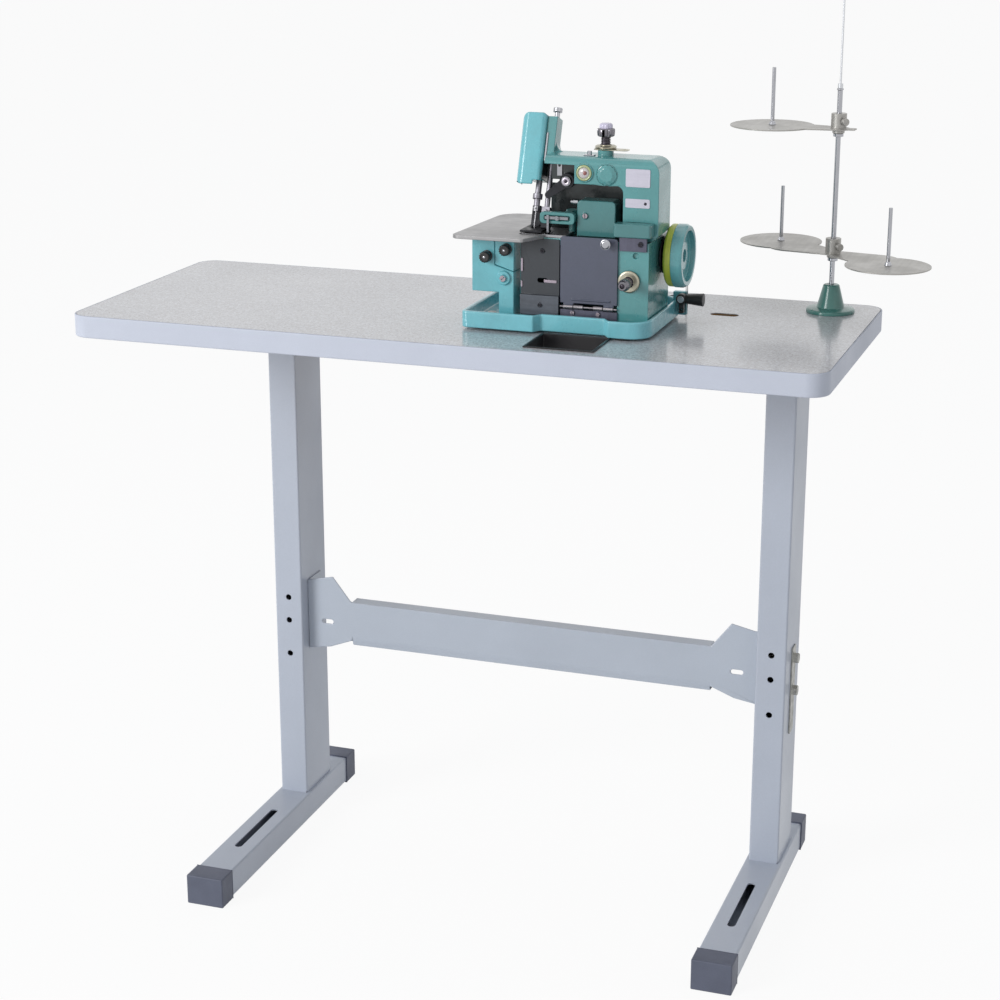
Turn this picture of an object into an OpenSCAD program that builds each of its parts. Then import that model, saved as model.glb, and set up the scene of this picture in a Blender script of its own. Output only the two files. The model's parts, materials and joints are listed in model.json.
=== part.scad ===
// Overlock sewing machine on its own table: a cast head on a laminated board,
// carried by two T-shaped steel legs, with a three-spool thread stand.
// The origin is on the floor, under the middle of the feet and of the board.
// +X runs to the operator's right, +Y to the back and +Z up. All sizes are in mm.

/* [Table board] */
// Width of the board
table_w = 900; // [760:10:1200]
// Depth of the board
table_d = 362; // [350:2:440]
// Height of the board's top face above the floor
table_h = 742; // [680:1:800]
// Thickness of the plywood core
core_t = 25; // [16:1:36]
// Thickness of the laminate sheet
laminate_t = 1; // [0.6:0.1:2]
// Thickness of the edge band
band_t = 2; // [1:0.5:4]
// Radius of the board's corners
board_corner_r = 24; // [8:1:50]
// Middle of the board to the right of the origin
board_x = -33; // [-40:1:0]
// Middle of the board behind the middle of the feet
board_y = -26; // [-40:1:0]

/* [Belt slot and waste chute] */
// Length of the belt slot
belt_slot_l = 34; // [24:1:60]
// Width of the belt slot
belt_slot_w = 14; // [10:1:20]
// Middle of the belt slot to the right of the base's left end
belt_slot_dx = 261; // [252:1:275]
// Middle of the belt slot behind the base's front
belt_slot_dy = 173; // [165:1:190]
// Width of the chute's mouth
chute_w = 76; // [60:1:84]
// Depth of the chute's mouth
chute_d = 64; // [50:1:70]
// Wall of the chute
chute_wall = 1.5; // [1:0.1:2]
// Width of the chute's flange
chute_lip = 3; // [2:0.5:6]
// Depth of the chute's sleeve below the board's top
chute_drop = 29; // [27:1:60]
// Gap between the chute's flange and the head's recess
chute_gap = 3; // [1:0.5:10]
// Middle of the chute to the right of the recess's middle
chute_shift = 6; // [-4:1:10]

/* [Stand] */
// Width of a column's tube
column_w = 37.5; // [30:0.5:50]
// Depth of a column's tube
column_d = 80; // [60:1:90]
// Wall of the column and foot tubes
tube_wall = 2; // [1.5:0.1:3]
// Middle of the left column from the board's left end
left_column_inset = 150; // [110:1:190]
// Middle of the right column from the board's right end
right_column_inset = 102; // [80:1:140]
// Middle of the columns behind the middle of the feet
column_y = 100; // [60:1:120]
// Width of a foot's tube
foot_w = 46; // [40:1:60]
// Height of a foot's tube
foot_h = 36; // [28:1:45]
// Length of a foot over its end caps
foot_l = 427; // [400:1:500]
// Wall of the plastic end caps
cap_wall = 1.5; // [1.2:0.1:2.5]
// Length of an end cap along the foot
cap_l = 30; // [20:1:45]
// Length of the slot in a foot's top
foot_slot_l = 118; // [60:1:140]
// Gap between that slot and the column
foot_slot_gap = 61; // [5:1:80]
// Width of the slot in a foot's top
foot_slot_w = 10; // [8:0.5:14]
// Thickness of the channels under the board
channel_t = 3; // [2:0.5:5]
// Length of the channels under the board
channel_l = 250; // [200:5:280]
// Height of the channels' side lips
channel_lip = 22; // [15:1:40]
// Width of a channel's screw flange
channel_flange = 12; // [12:1:24]
// Radius of a wood screw's shank
wood_screw_r = 2.2; // [1.8:0.1:2.6]

/* [Stretcher] */
// Height of the stretcher's lower edge
stretcher_z = 251; // [220:1:400]
// Height of the stretcher's front web
stretcher_h = 61; // [50:1:90]
// Thickness of the pressed sheet
stretcher_t = 2; // [1.5:0.1:3]
// Front face of the stretcher behind the columns' front face
stretcher_inset = 20; // [10:1:24]
// Depth of the stretcher's top and bottom flanges
stretcher_flange = 20; // [14:1:26]
// Extra height of each flared end
flare_h = 33; // [10:1:45]
// Drop of each flared end below the web
flare_drop = 10; // [5:1:20]
// Length of each flared end
flare_l = 62; // [40:1:100]
// Width of the end plates against the columns
end_plate_w = 42; // [36:1:44]
// Length of the backing plate on a column's outer side
backing_l = 114; // [90:1:130]
// Thickness of the backing plate
backing_t = 2; // [1.5:0.1:3]
// Radius of the frame bolts' shanks
frame_bolt_r = 4; // [3:0.5:5]

/* [Thread stand] */
// Thread stand from the board's right end
stand_inset_x = 57; // [45:1:70]
// Thread stand from the board's back edge
stand_inset_y = 50; // [40:1:75]
// Radius of the stand's rod
rod_r = 3; // [2.5:0.1:4]
// Length of the rod below the board
rod_tail = 16; // [12:1:30]
// Height of the rod's end above the board
rod_top = 261; // [240:1:330]
// Radius of the cone's flange
cone_flange_r = 28.5; // [24:0.5:34]
// Height of the cone
cone_h = 33; // [25:1:50]
// Height of the lower spool plate above the board
lower_plate_z = 69; // [55:1:90]
// Height of the upper spool plate above the board
upper_plate_z = 214; // [180:1:230]
// Radius of a spool plate's round end
spool_plate_r = 49; // [35:1:56]
// Thickness of a spool plate
spool_plate_t = 1.6; // [1:0.1:3]
// Distance from the rod to a spool pin
spool_reach = 94; // [80:1:110]
// Distance from the rod to the upper spool pin
upper_reach = 79; // [70:1:100]
// Height of a spool pin
spool_pin_h = 66; // [40:1:110]
// Radius of a spool pin
spool_pin_r = 2.2; // [1.8:0.1:3]
// Direction of the lower plate's right end
lower_plate_angle = -38; // [-50:1:-20]
// Direction of the upper plate's pin
upper_plate_angle = 176; // [165:1:185]
// Radius of the guide wire
guide_wire_r = 1.2; // [1:0.1:2]
// Height of the guide wire's loops above the rod
guide_h = 150; // [100:1:220]

/* [Head position and base] */
// Left end of the base from the board's middle
head_dx = 18; // [0:1:22]
// Front of the base behind the board's front edge
head_inset = 81; // [79:1:89]
// Thickness of the rubber pads
pad_t = 2.5; // [2:0.1:5]
// Left end of the base beyond the head's datum
base_x0 = -6; // [-12:1:0]
// Right end of the base
base_x1 = 214; // [212:1:224]
// Depth of the base
base_d = 160; // [152:1:180]
// Height of the base
base_h = 19; // [15:1:24]
// Wall of the base
base_wall = 5; // [4:0.5:6]
// Floor of the base
base_floor = 5; // [4:0.5:8]
// Radius of the base's right corners
base_corner_r = 24; // [14:1:30]
// Depth of the recess in the base's front
recess_d = 10; // [6:1:14]
// Left end of the recess
recess_x0 = 84; // [78:1:90]
// Right end of the recess
recess_x1 = 165; // [158:1:170]
// Length of the recess's slanted ends
recess_slant = 7; // [3:1:12]

/* [Main frame casting] */
// Left face of the lower housing
house_x0 = 58; // [56:1:59]
// Right face of the lower housing
house_x1 = 208; // [207:1:209]
// Front face of the lower housing
house_y0 = 24; // [22:1:26]
// Back face of the lower housing
house_y1 = 112; // [110:1:118]
// Top face of the lower housing
house_z1 = 107; // [106:1:108]
// Wall of the casting
cast_wall = 6; // [5:0.5:6]
// Left face of the right-hand block behind the front cover
block_x0 = 174; // [173:1:176]
// Left face of the column
column_x0 = 174; // [173:1:176]
// Right face of the column
column_x1 = 215; // [212:1:216]
// Front face of the column and arm
arm_y0 = 35; // [33:1:36]
// Back face of the column and arm
arm_y1 = 86; // [84:1:88]
// Underside of the arm
arm_z0 = 167; // [166:1:170]
// Top of the arm
arm_z1 = 197; // [195:1:202]
// Right end of the lever pocket in the arm
pocket_x1 = 117; // [116:1:118]
// Back of the lever pocket in the arm
pocket_y1 = 62; // [60:1:64]
// Radius of the arm's outer corner
arm_corner_r = 15; // [8:1:20]
// Rounding along the arm's top edges
arm_edge_r = 9; // [4:1:12]

/* [Needle bar and presser] */
// Needle to the right of the base's left end
needle_x = 67; // [66:1:68]
// Needle behind the base's front
needle_y = 45; // [44:1:46]
// Backward lean of the needle bar in degrees
needle_lean = 20; // [17:1:22]
// Radius of the needle bar
needle_bar_r = 3.5; // [3:0.1:4]
// Length of the needle bar
needle_bar_l = 78; // [70:1:82]
// Lower end of the needle bar along its axis
needle_bar_z = 28; // [27:1:30]
// Presser bar to the right of the needle bar
presser_dx = 12.5; // [12:0.5:13]
// Radius of the presser bar
presser_bar_r = 3; // [2.5:0.1:3.2]
// Lift of the presser foot
presser_lift = 6; // [4:0.5:7]
// Gap between the presser foot's sole and the throat plate
sole_gap = 1.3; // [0.8:0.1:1.5]
// Width of the face cover
face_cover_w = 30; // [28:1:31]
// Depth of the face cover
face_cover_d = 28; // [26:1:30]
// Length of the face cover
face_cover_h = 82; // [78:1:84]
// Lower end of the face cover along the needle bar
face_cover_z = 50; // [49:1:52]
// Wall of the sheet and plastic covers
shell_t = 2; // [1.5:0.1:2.2]

/* [Cloth plate and throat] */
// Height of the throat plate's top face
throat_z = 110; // [110:0.5:111]
// Thickness of the throat plate
throat_t = 3; // [2.5:0.1:3]
// Thickness of the cloth plate
cloth_t = 4; // [3:0.1:5]
// Left end of the cloth plate
cloth_x0 = -13; // [-25:1:-5]
// Front edge of the cloth plate
cloth_y0 = -12; // [-20:1:-8]
// Back edge of the cloth plate
cloth_y1 = 148; // [140:1:152]
// Radius of the cloth plate's back left corner
cloth_corner_r = 26; // [12:1:30]
// Right end of the cloth plate's front tongue
tongue_x1 = 87; // [84:1:94]
// Slant of the cloth plate's left edge
cloth_slant = 9; // [0:1:12]
// Slant of the tongue's right end
tongue_slant = 14; // [0:1:18]
// Depth of the cloth plate's front tongue
tongue_d = 33; // [28:1:33]
// Left face of the plate bracket
bracket_x0 = 2; // [0:1:4]
// Joint between the swinging carrier and the fixed bracket
bracket_split = 29; // [27:1:30]
// Right face of the bracket
bracket_x1 = 52; // [50:1:57]
// Front face of the bracket
bracket_y0 = 18; // [14:1:20]
// Depth of the bracket
bracket_d = 40; // [34:1:44]
// Underside of the bracket's block
bracket_z0 = 42; // [36:1:48]

/* [Covers] */
// Thickness of the front cover plates
cover_t = 2.5; // [2:0.1:3]
// Left edge of the hinged front cover
cover_x0 = 106; // [104:0.5:108]
// Right edge of the hinged front cover
cover_x1 = 173; // [172:0.5:173]
// Lower edge of the hinged front cover
cover_z0 = 33; // [32:1:36]
// Upper edge of the hinged front cover
cover_z1 = 110; // [108:1:111]
// Radius of the cover's hinge barrel
hinge_r = 2.6; // [2.4:0.1:3]
// Radius of the hinge pin
hinge_pin_r = 1.2; // [1:0.1:1.4]
// Length of a hinge barrel
hinge_barrel_l = 12; // [8:1:14]

/* [Drive] */
// Height of the main shaft above the board
shaft_z = 84; // [82:1:85]
// Main shaft behind the base's front
shaft_y = 86; // [85:1:87]
// Radius of the main shaft
shaft_r = 7; // [6:0.5:8]
// Running clearance of shafts in their bores
run_gap = 0.05; // [0.02:0.01:0.08]
// Radius of the handwheel
wheel_r = 36; // [34:0.5:38]
// Length of the handwheel's drum
drum_l = 13; // [12:1:28]
// Length of the belt ring
ring_l = 9; // [6:1:12]
// Radius of the belt pulley
pulley_r = 18; // [14:1:22]
// Length of the belt pulley
pulley_l = 7; // [7:1:12]
// Gap between the pulley and the housing
pulley_gap = 1; // [0.5:0.1:2]

/* [Thread tensions] */
// Radius of a tension disc
disc_r = 12.5; // [10:0.5:13.5]
// Radius of a tension knob
knob_r = 10; // [8:0.1:10.5]
// Radius of the front tension knob
front_knob_r = 6.8; // [6:0.1:8]
// Length of a tension knob
knob_l = 15; // [12:1:20]
// Length of a tension spring
spring_l = 9; // [6:1:12]
// Radius of a tension post
post_r = 3; // [2.5:0.1:3.5]
// Top tension to the right of the base's left end
top_tension_x = 146; // [142:1:160]
// Front tension to the right of the base's left end
front_tension_x = 186; // [184:1:188]
// Height of the front tension
front_tension_z = 63; // [56:1:70]

/* [Hidden] */
$fn = 48;
eps = 0.01;
teal = [0.36, 0.66, 0.67];
dark_grey = [0.24, 0.25, 0.29];
steel = [0.72, 0.73, 0.75];
frame_grey = [0.66, 0.69, 0.72];
black = [0.06, 0.06, 0.07];
brass = [0.75, 0.62, 0.33];

left_column_x = board_x - table_w / 2 + left_column_inset;
right_column_x = board_x + table_w / 2 - right_column_inset;
stand_x = board_x + table_w / 2 - stand_inset_x;
stand_y = board_y + table_d / 2 - stand_inset_y;
head_x = board_x + head_dx;
head_y = board_y - table_d / 2 + head_inset;
board_bottom = table_h - laminate_t - core_t;
foot_top = cap_wall + foot_h;
column_top = board_bottom - channel_t;
house_z0 = pad_t + base_floor;
rim_z = pad_t + base_h;
pulley_x = house_x1 + pulley_gap;
wheel_end = pulley_x + pulley_l + ring_l + drum_l;
chute_x = head_x + (recess_x0 + recess_x1) / 2 + chute_shift;
chute_y1 = head_y + recess_d - chute_gap;
chute_y0 = chute_y1 - chute_d - 2 * chute_lip;
post_bore = post_r + run_gap;
head_w = presser_dx + 4.5;
arm_x0 = needle_x + head_w - 2;

// ---- helpers ----

module box(low, high) {
    translate(low) cube(high - low);
}

module rod_x(x0, x1, y, z, r) {
    translate([x0, y, z]) rotate([0, 90, 0]) cylinder(h = x1 - x0, r = r);
}

module rod_y(x, y0, y1, z, r) {
    translate([x, y0, z]) rotate([-90, 0, 0]) cylinder(h = y1 - y0, r = r);
}

module rod_z(x, y, z0, z1, r) {
    translate([x, y, z0]) cylinder(h = z1 - z0, r = r);
}

function arc(cx, cy, r, a0, a1, n) =
    [for (i = [0:n]) [cx + r * cos(a0 + (a1 - a0) * i / n), cy + r * sin(a0 + (a1 - a0) * i / n)]];

// Outline of a rectangle whose corner radii are given as front left, front right, back right, back left.
function round_rect(x0, x1, y0, y1, r) = concat(
    arc(x0 + r[0], y0 + r[0], r[0], 180, 270, 8),
    arc(x1 - r[1], y0 + r[1], r[1], 270, 360, 8),
    arc(x1 - r[2], y1 - r[2], r[2], 0, 90, 8),
    arc(x0 + r[3], y1 - r[3], r[3], 90, 180, 8));

// Prism drawn by its front outline, from y0 back to y1.
module from_front(y0, y1) {
    translate([0, y1, 0]) rotate([90, 0, 0]) linear_extrude(y1 - y0) children();
}

module slot_hole(x, y, l, w, z0, z1) {
    translate([x, y, z0]) linear_extrude(z1 - z0) union() {
        square([l - w, w], center = true);
        for (s = [-1, 1]) translate([s * (l - w) / 2, 0]) circle(w / 2);
    }
}

module at_head() {
    translate([head_x, head_y, table_h]) children();
}

// Frame along the needle bar: its origin is the needle's hole in the throat plate.
module at_needle() {
    at_head() translate([needle_x, needle_y, throat_z]) rotate([-needle_lean, 0, 0]) children();
}

// Hexagon nut or bolt head standing up from z = 0.
module hex(r, h) {
    cylinder(h = h, r = r, $fn = 6);
}

// Slotted round screw head standing up from z = 0.
module screw_head(r, h) {
    difference() {
        cylinder(h = h, r = r);
        translate([-r, -r / 7, h - r / 3]) cube([2 * r, 2 * r / 7, r]);
    }
}

// ---- table board ----

module board_outline(inset) {
    r = board_corner_r - inset;
    polygon(round_rect(board_x - table_w / 2 + inset, board_x + table_w / 2 - inset,
        board_y - table_d / 2 + inset,
        board_y + table_d / 2 - inset, [r, r, r, r]));
}

pad_inset = 24;
stud_r = 3;
stud_gap = 0.4;
stud_places = [[pad_inset, pad_inset], [base_x1 - pad_inset - 6, (base_wall + house_y0) / 2],
    [pad_inset, base_d - pad_inset], [base_x1 - pad_inset, base_d - pad_inset]];

module board_cuts(z0, z1) {
    gap = 0.3;
    box([chute_x - chute_w / 2 - chute_wall - gap, chute_y0 + chute_lip - chute_wall - gap, z0],
        [chute_x + chute_w / 2 + chute_wall + gap, chute_y1 - chute_lip + chute_wall + gap, z1]);
    slot_hole(head_x + belt_slot_dx, head_y + belt_slot_dy, belt_slot_l, belt_slot_w, z0, z1);
    for (p = stud_places) rod_z(head_x + p[0], head_y + p[1], z0, z1, stud_r + stud_gap);
    rod_z(stand_x, stand_y, z0, z1, rod_r + run_gap);
}

module board_core() color([0.72, 0.55, 0.36]) difference() {
    translate([0, 0, board_bottom]) linear_extrude(core_t) board_outline(band_t);
    board_cuts(board_bottom - 1, table_h);
    for (p = wood_screw_places) rod_z(p[0], p[1], board_bottom - 1, board_bottom + screw_bite,
        wood_screw_r);
}

module board_laminate() color([0.82, 0.82, 0.80]) difference() {
    translate([0, 0, table_h - laminate_t]) linear_extrude(laminate_t) board_outline(band_t);
    board_cuts(board_bottom, table_h + 1);
}

module edge_band() color([0.70, 0.73, 0.80]) {
    translate([0, 0, board_bottom]) linear_extrude(core_t + laminate_t) difference() {
        board_outline(0);
        board_outline(band_t);
    }
}

// ---- stand ----

screw_bite = 18;
channel_w = column_w + 2 * channel_t;
wood_screw_places = [for (x = [left_column_x, right_column_x]) for (sx = [-1, 1]) for (sy = [-1, 1])
    [x + sx * (channel_w / 2 + channel_flange / 2), board_y + 40 + sy * (channel_l / 2 - 25)]];
front_hole_drops = [0, 32, 79];
front_hole_z = 317;
frame_bolt_z = [stretcher_z + 8, stretcher_z + stretcher_h - 10];
plate_y = column_y - column_d / 2 + stretcher_inset;
bolt_y = plate_y + end_plate_w / 2;

module column(x) color(frame_grey) difference() {
    box([x - column_w / 2, column_y - column_d / 2, foot_top],
        [x + column_w / 2, column_y + column_d / 2, column_top]);
    box([x - column_w / 2 + tube_wall, column_y - column_d / 2 + tube_wall, foot_top - 1],
        [x + column_w / 2 - tube_wall, column_y + column_d / 2 - tube_wall, column_top + 1]);
    for (d = front_hole_drops)
        rod_y(x, column_y - column_d / 2 - 1, column_y - column_d / 2 + tube_wall + 1, front_hole_z - d, 4);
    for (z = frame_bolt_z)
        rod_x(x - column_w, x + column_w, bolt_y, z, frame_bolt_r + run_gap);
}

module left_column() column(left_column_x);

module right_column() column(right_column_x);

module foot(x) color(frame_grey) difference() {
    y = foot_l / 2 - cap_wall;
    box([x - foot_w / 2, -y, cap_wall], [x + foot_w / 2, y, foot_top]);
    box([x - foot_w / 2 + tube_wall, -y - 1, cap_wall + tube_wall],
        [x + foot_w / 2 - tube_wall, y + 1, foot_top - tube_wall]);
    translate([x, column_y - column_d / 2 - foot_slot_gap - foot_slot_l / 2, foot_top - tube_wall - 1])
        rotate([0, 0, 90])
        slot_hole(0, 0, foot_slot_l, foot_slot_w, 0, tube_wall + 2);
}

module left_foot() foot(left_column_x);

module right_foot() foot(right_column_x);

// A cup over the foot's end, with three ribs on its lower edge.
module end_cap(x, s) {
    w = foot_w / 2 + cap_wall;
    translate([x, 0, 0]) scale([1, s, 1]) difference() {
        union() {
            translate([-w, foot_l / 2 - cap_l, 0]) cube([2 * w, cap_l, foot_top + cap_wall]);
            for (i = [-1:1]) translate([i * w * 0.6, foot_l / 2 - cap_l / 2, 0])
                cylinder(h = foot_h / 4, r = cap_wall + w / 5.5);
        }
        box([-foot_w / 2, 0, cap_wall], [foot_w / 2, foot_l / 2 - cap_wall, foot_top]);
    }
}

module foot_end_caps() color([0.35, 0.37, 0.44]) {
    for (x = [left_column_x, right_column_x]) for (s = [-1, 1]) end_cap(x, s);
}

module board_channels() color(frame_grey) for (x = [left_column_x, right_column_x]) difference() {
    y0 = board_y + 40 - channel_l / 2;
    union() {
        box([x - channel_w / 2 - channel_flange, y0, column_top],
            [x + channel_w / 2 + channel_flange, y0 + channel_l, board_bottom]);
        for (s = [-1, 1]) box([x + (s < 0 ? -channel_w / 2 : column_w / 2), y0, column_top - channel_lip],
            [x + (s < 0 ? -column_w / 2 : channel_w / 2), y0 + channel_l, column_top + eps]);
    }
    for (p = wood_screw_places) rod_z(p[0], p[1], column_top - 1, board_bottom + 1, wood_screw_r + run_gap);
}

module board_screws() for (p = wood_screw_places) {
    translate([p[0], p[1], column_top]) rotate([180, 0, 0]) screw_head(4.5, 3);
    rod_z(p[0], p[1], column_top - eps, board_bottom + screw_bite - 1, wood_screw_r);
}

// ---- stretcher ----

beam_x0 = left_column_x + column_w / 2;
beam_x1 = right_column_x - column_w / 2;

module stretcher() color(frame_grey) {
    y = plate_y;
    z0 = stretcher_z;
    z1 = stretcher_z + stretcher_h;
    t = stretcher_t;
    bend = 14;
    difference() {
        union() {
            // pressed channel between the flared ends
            translate([beam_x0 + flare_l, 0, 0]) rotate([90, 0, 90])
                linear_extrude(beam_x1 - beam_x0 - 2 * flare_l)
                polygon([[y, z0 + bend], [y, z1], [y + stretcher_flange, z1],
                    [y + stretcher_flange, z1 - t],
                    [y + t, z1 - t], [y + t, z0 + bend], [y + t + 4, z0 + t],
                        [y + stretcher_flange, z0 + t],
                    [y + stretcher_flange, z0], [y + 4, z0]]);
            // flared ends
            for (s = [0, 1]) translate([s == 0 ? beam_x0 : beam_x1, y + t, 0]) scale([s == 0 ? 1 : -1, 1,
                1])
                rotate([90, 0, 0]) linear_extrude(t) polygon([[0, z0 - flare_drop],
                    [flare_l / 2, z0 - flare_drop / 2],
                    [flare_l + eps, z0 + bend / 2], [flare_l + eps, z1], [flare_l / 1.7, z1 + flare_h],
                    [0, z1 + flare_h - 8]]);
            // end plates against the columns
            box([beam_x0, y, z0 - flare_drop], [beam_x0 + t, y + end_plate_w, z1 + flare_h - 8]);
            box([beam_x1 - t, y, z0 - flare_drop], [beam_x1, y + end_plate_w, z1 + flare_h - 8]);
        }
        for (z = frame_bolt_z) rod_x(beam_x0 - 1, beam_x1 + 1, bolt_y, z, frame_bolt_r + run_gap);
        for (x = [beam_x0 + flare_l * 0.45, beam_x1 - flare_l * 0.45]) translate([x, y, (z0 + z1) / 2])
            rotate([90, 0, 0]) slot_hole(0, 0, 16, 6, -t - 1, 1);
    }
}

// Backing plate on each column's outer side, and bolts through it, the column and the stretcher's end
// plate.
module frame_bolts() for (s = [-1, 1]) {
    outer = s < 0 ? left_column_x - column_w / 2 : right_column_x + column_w / 2;
    bolt_l = backing_t + column_w + stretcher_t;
    translate([outer, bolt_y, front_hole_z]) rotate([0, s * 90, 0])
        translate([s < 0 ? -backing_l : 0, -frame_bolt_r * 2.4, 0])
            cube([backing_l, frame_bolt_r * 4.8, backing_t]);
    for (z = frame_bolt_z) translate([outer, bolt_y, z]) rotate([0, s * 90, 0])
        translate([0, 0, backing_t - eps]) {
        hex(frame_bolt_r * 1.7, 6);
        translate([0, 0, -bolt_l - 10]) cylinder(h = bolt_l + 10, r = frame_bolt_r);
        translate([0, 0, -bolt_l - 7]) hex(frame_bolt_r * 1.7, 7);
    }
}

module stand_fasteners() color(steel) {
    board_screws();
    frame_bolts();
}

// ---- waste chute ----

module waste_chute() color(black) difference() {
    union() {
        box([chute_x - chute_w / 2 - chute_lip, chute_y0, table_h],
            [chute_x + chute_w / 2 + chute_lip, chute_y1, table_h + chute_wall]);
        box([chute_x - chute_w / 2 - chute_wall, chute_y0 + chute_lip - chute_wall, table_h - chute_drop],
            [chute_x + chute_w / 2 + chute_wall, chute_y1 - chute_lip + chute_wall, table_h + eps]);
    }
    box([chute_x - chute_w / 2, chute_y0 + chute_lip, table_h - chute_drop - 1],
        [chute_x + chute_w / 2, chute_y1 - chute_lip, table_h + chute_wall + 1]);
}

// ---- thread stand ----

collar_r = 9;
collar_h = 17;
rod_nut_h = 6;

cone_r = cone_flange_r - 13.5;
cone_tip_r = rod_r + 5;

module stand_cone() color([0.22, 0.42, 0.40]) translate([stand_x, stand_y, table_h]) rotate_extrude()
    polygon(concat([[rod_r + run_gap, 0], [cone_flange_r, 0], [cone_flange_r, 2.5]],
        arc(cone_flange_r - 2, 2.5, 2, 0, 90, 4),
        [[cone_r + 1.5, 6], [cone_r, cone_h / 3], [cone_tip_r + 1.5, cone_h - 1], [cone_tip_r, cone_h],
            [rod_r + run_gap, cone_h]]));

module stand_rod() color(steel) {
    rod_z(stand_x, stand_y, board_bottom - rod_tail, table_h + rod_top - 2, rod_r);
    rod_z(stand_x, stand_y, table_h + rod_top - 2 - eps, table_h + rod_top, rod_r + 0.9);
    translate([stand_x, stand_y, board_bottom - rod_nut_h]) hex(rod_r * 2, rod_nut_h);
    rod_z(stand_x, stand_y, board_bottom - 1.5, board_bottom, 10);
    for (z = [lower_plate_z, upper_plate_z])
        rod_z(stand_x, stand_y, table_h + z - 8, table_h + z - 4.3, rod_r + 3);
}

// Collar welded on a plate, with its thumb screw.
module collar() {
    translate([0, 0, spool_plate_t - eps]) cylinder(h = collar_h, r = collar_r);
    translate([0, 0, -4]) cylinder(h = 4 + eps, r = collar_r - 2);
    translate([0, 0, spool_plate_t + collar_h / 2]) rotate([90, 0, 40]) {
        cylinder(h = collar_r + 7, r = 2);
        translate([0, 0, collar_r + 3]) cylinder(h = 5, r = 4.2);
    }
}

function lower_pin(s) = [s * spool_reach * cos(lower_plate_angle),
    s * spool_reach * sin(lower_plate_angle)];
upper_pin = [upper_reach * cos(upper_plate_angle), upper_reach * sin(upper_plate_angle)];

module at_rod(z) {
    translate([stand_x, stand_y, table_h + z]) children();
}

// Sheet with its collar, bored for the rod and for the pins at the given places.
module spool_plate(pins) difference() {
    union() {
        collar();
        linear_extrude(spool_plate_t) children();
    }
    translate([0, 0, -10]) cylinder(h = 40, r = rod_r + run_gap);
    for (p = pins) translate(concat(p, [-1])) cylinder(h = 10, r = spool_pin_r + run_gap);
}

// Two round ends joined by a waist that bends like an S.
module lower_spool_plate() color([0.66, 0.65, 0.62]) at_rod(lower_plate_z)
    spool_plate([lower_pin(-1), lower_pin(1)]) {
        circle(collar_r + 4);
        for (s = [-1, 1]) {
            translate(lower_pin(s)) circle(spool_plate_r, $fn = 96);
            hull() {
                circle(collar_r + 3.5);
                rotate(lower_plate_angle + 11) translate([s * spool_reach * 0.62, 0])
                    circle(spool_plate_r * 0.62);
            }
        }
    }

module upper_spool_plate() color([0.66, 0.65, 0.62]) at_rod(upper_plate_z) spool_plate([upper_pin]) {
    translate(upper_pin) circle(spool_plate_r, $fn = 96);
    hull() {
        circle(collar_r + 4.5);
        translate(upper_pin * 0.5) circle(spool_plate_r * 0.42);
    }
    rotate(upper_plate_angle + 180) translate([0, -6]) square([20, 12]);
}

// Pin through its plate, with a ball seat on top of the plate and a nut below it.
module spool_pin() {
    translate([0, 0, -6]) cylinder(h = spool_pin_h + spool_plate_t + 6, r = spool_pin_r);
    translate([0, 0, spool_plate_t]) cylinder(h = 4, r1 = 4.5, r2 = 3);
    translate([0, 0, -4]) hex(4.5, 4);
}

module lower_spool_pins() color(steel) at_rod(lower_plate_z) {
    for (s = [-1, 1]) translate(concat(lower_pin(s), [0])) spool_pin();
}

module upper_spool_pin() color(steel) at_rod(upper_plate_z) translate(concat(upper_pin, [0])) spool_pin();

// Upright wire with a cross arm and three eyes, one over each spool.
module thread_guide_wire() color([0.80, 0.80, 0.80])
    translate([stand_x, stand_y, table_h + rod_top + 0.3]) {
    r = guide_wire_r;
    eye_r = 5;
    eyes = [lower_pin(-1), lower_pin(1), upper_pin];
    cylinder(h = 5, r = rod_r);
    cylinder(h = guide_h, r = r);
    // boss that the arms are brazed into
    translate([0, 0, guide_h - 8 * r]) cylinder(h = 10 * r, r = r * 2);
    for (i = [0:2]) {
        reach = norm(eyes[i]) - eye_r;
        rotate(atan2(eyes[i][1], eyes[i][0])) translate([0, 0, guide_h - 3 * i * r]) {
            rotate([0, 90, 0]) cylinder(h = reach, r = r);
            translate([reach + eye_r, 0, 0]) rotate_extrude() translate([eye_r, 0]) circle(r);
        }
    }
}

// ---- head: base ----

// Plan of the base, with the recess in its front.
function base_plan(inset) = let(r = base_corner_r - inset, q = 8 - min(inset, 6)) concat(
    arc(base_x0 + inset + q, inset + q, q, 180, 270, 6),
    [[recess_x0 - recess_slant / 2, inset], [recess_x0 + recess_slant / 2, recess_d + inset],
        [recess_x1 - recess_slant / 2, recess_d + inset], [recess_x1 + recess_slant / 2, inset]],
    arc(base_x1 - inset - r, inset + r, r, 270, 360, 10),
    arc(base_x1 - inset - r, base_d - inset - r, r, 0, 90, 10),
    arc(base_x0 + inset + q, base_d - inset - q, q, 90, 180, 6));

module base_tray() color(teal) at_head() difference() {
    union() {
        difference() {
            translate([0, 0, pad_t]) linear_extrude(base_h) polygon(base_plan(0));
            translate([0, 0, house_z0]) linear_extrude(base_h) polygon(base_plan(base_wall));
        }
        for (p = stud_places) rod_z(p[0], p[1], pad_t, house_z0 + 4, 8);
        // lug for the presser lift lever
        box([base_x1 - base_wall, lift_pivot[1] + lift_lever_t + 0.4, pad_t + 3],
            [lift_pivot[0] + lift_pin_r + 2, lift_pivot[1] + lift_lever_t + 8, lift_pivot[2] + 7]);
    }
    for (p = stud_places) rod_z(p[0], p[1], 0, rim_z, stud_r + stud_gap);
    rod_y(lift_pivot[0], lift_pivot[1], lift_pivot[1] + 20, lift_pivot[2], lift_pin_r + run_gap);
}

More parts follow.
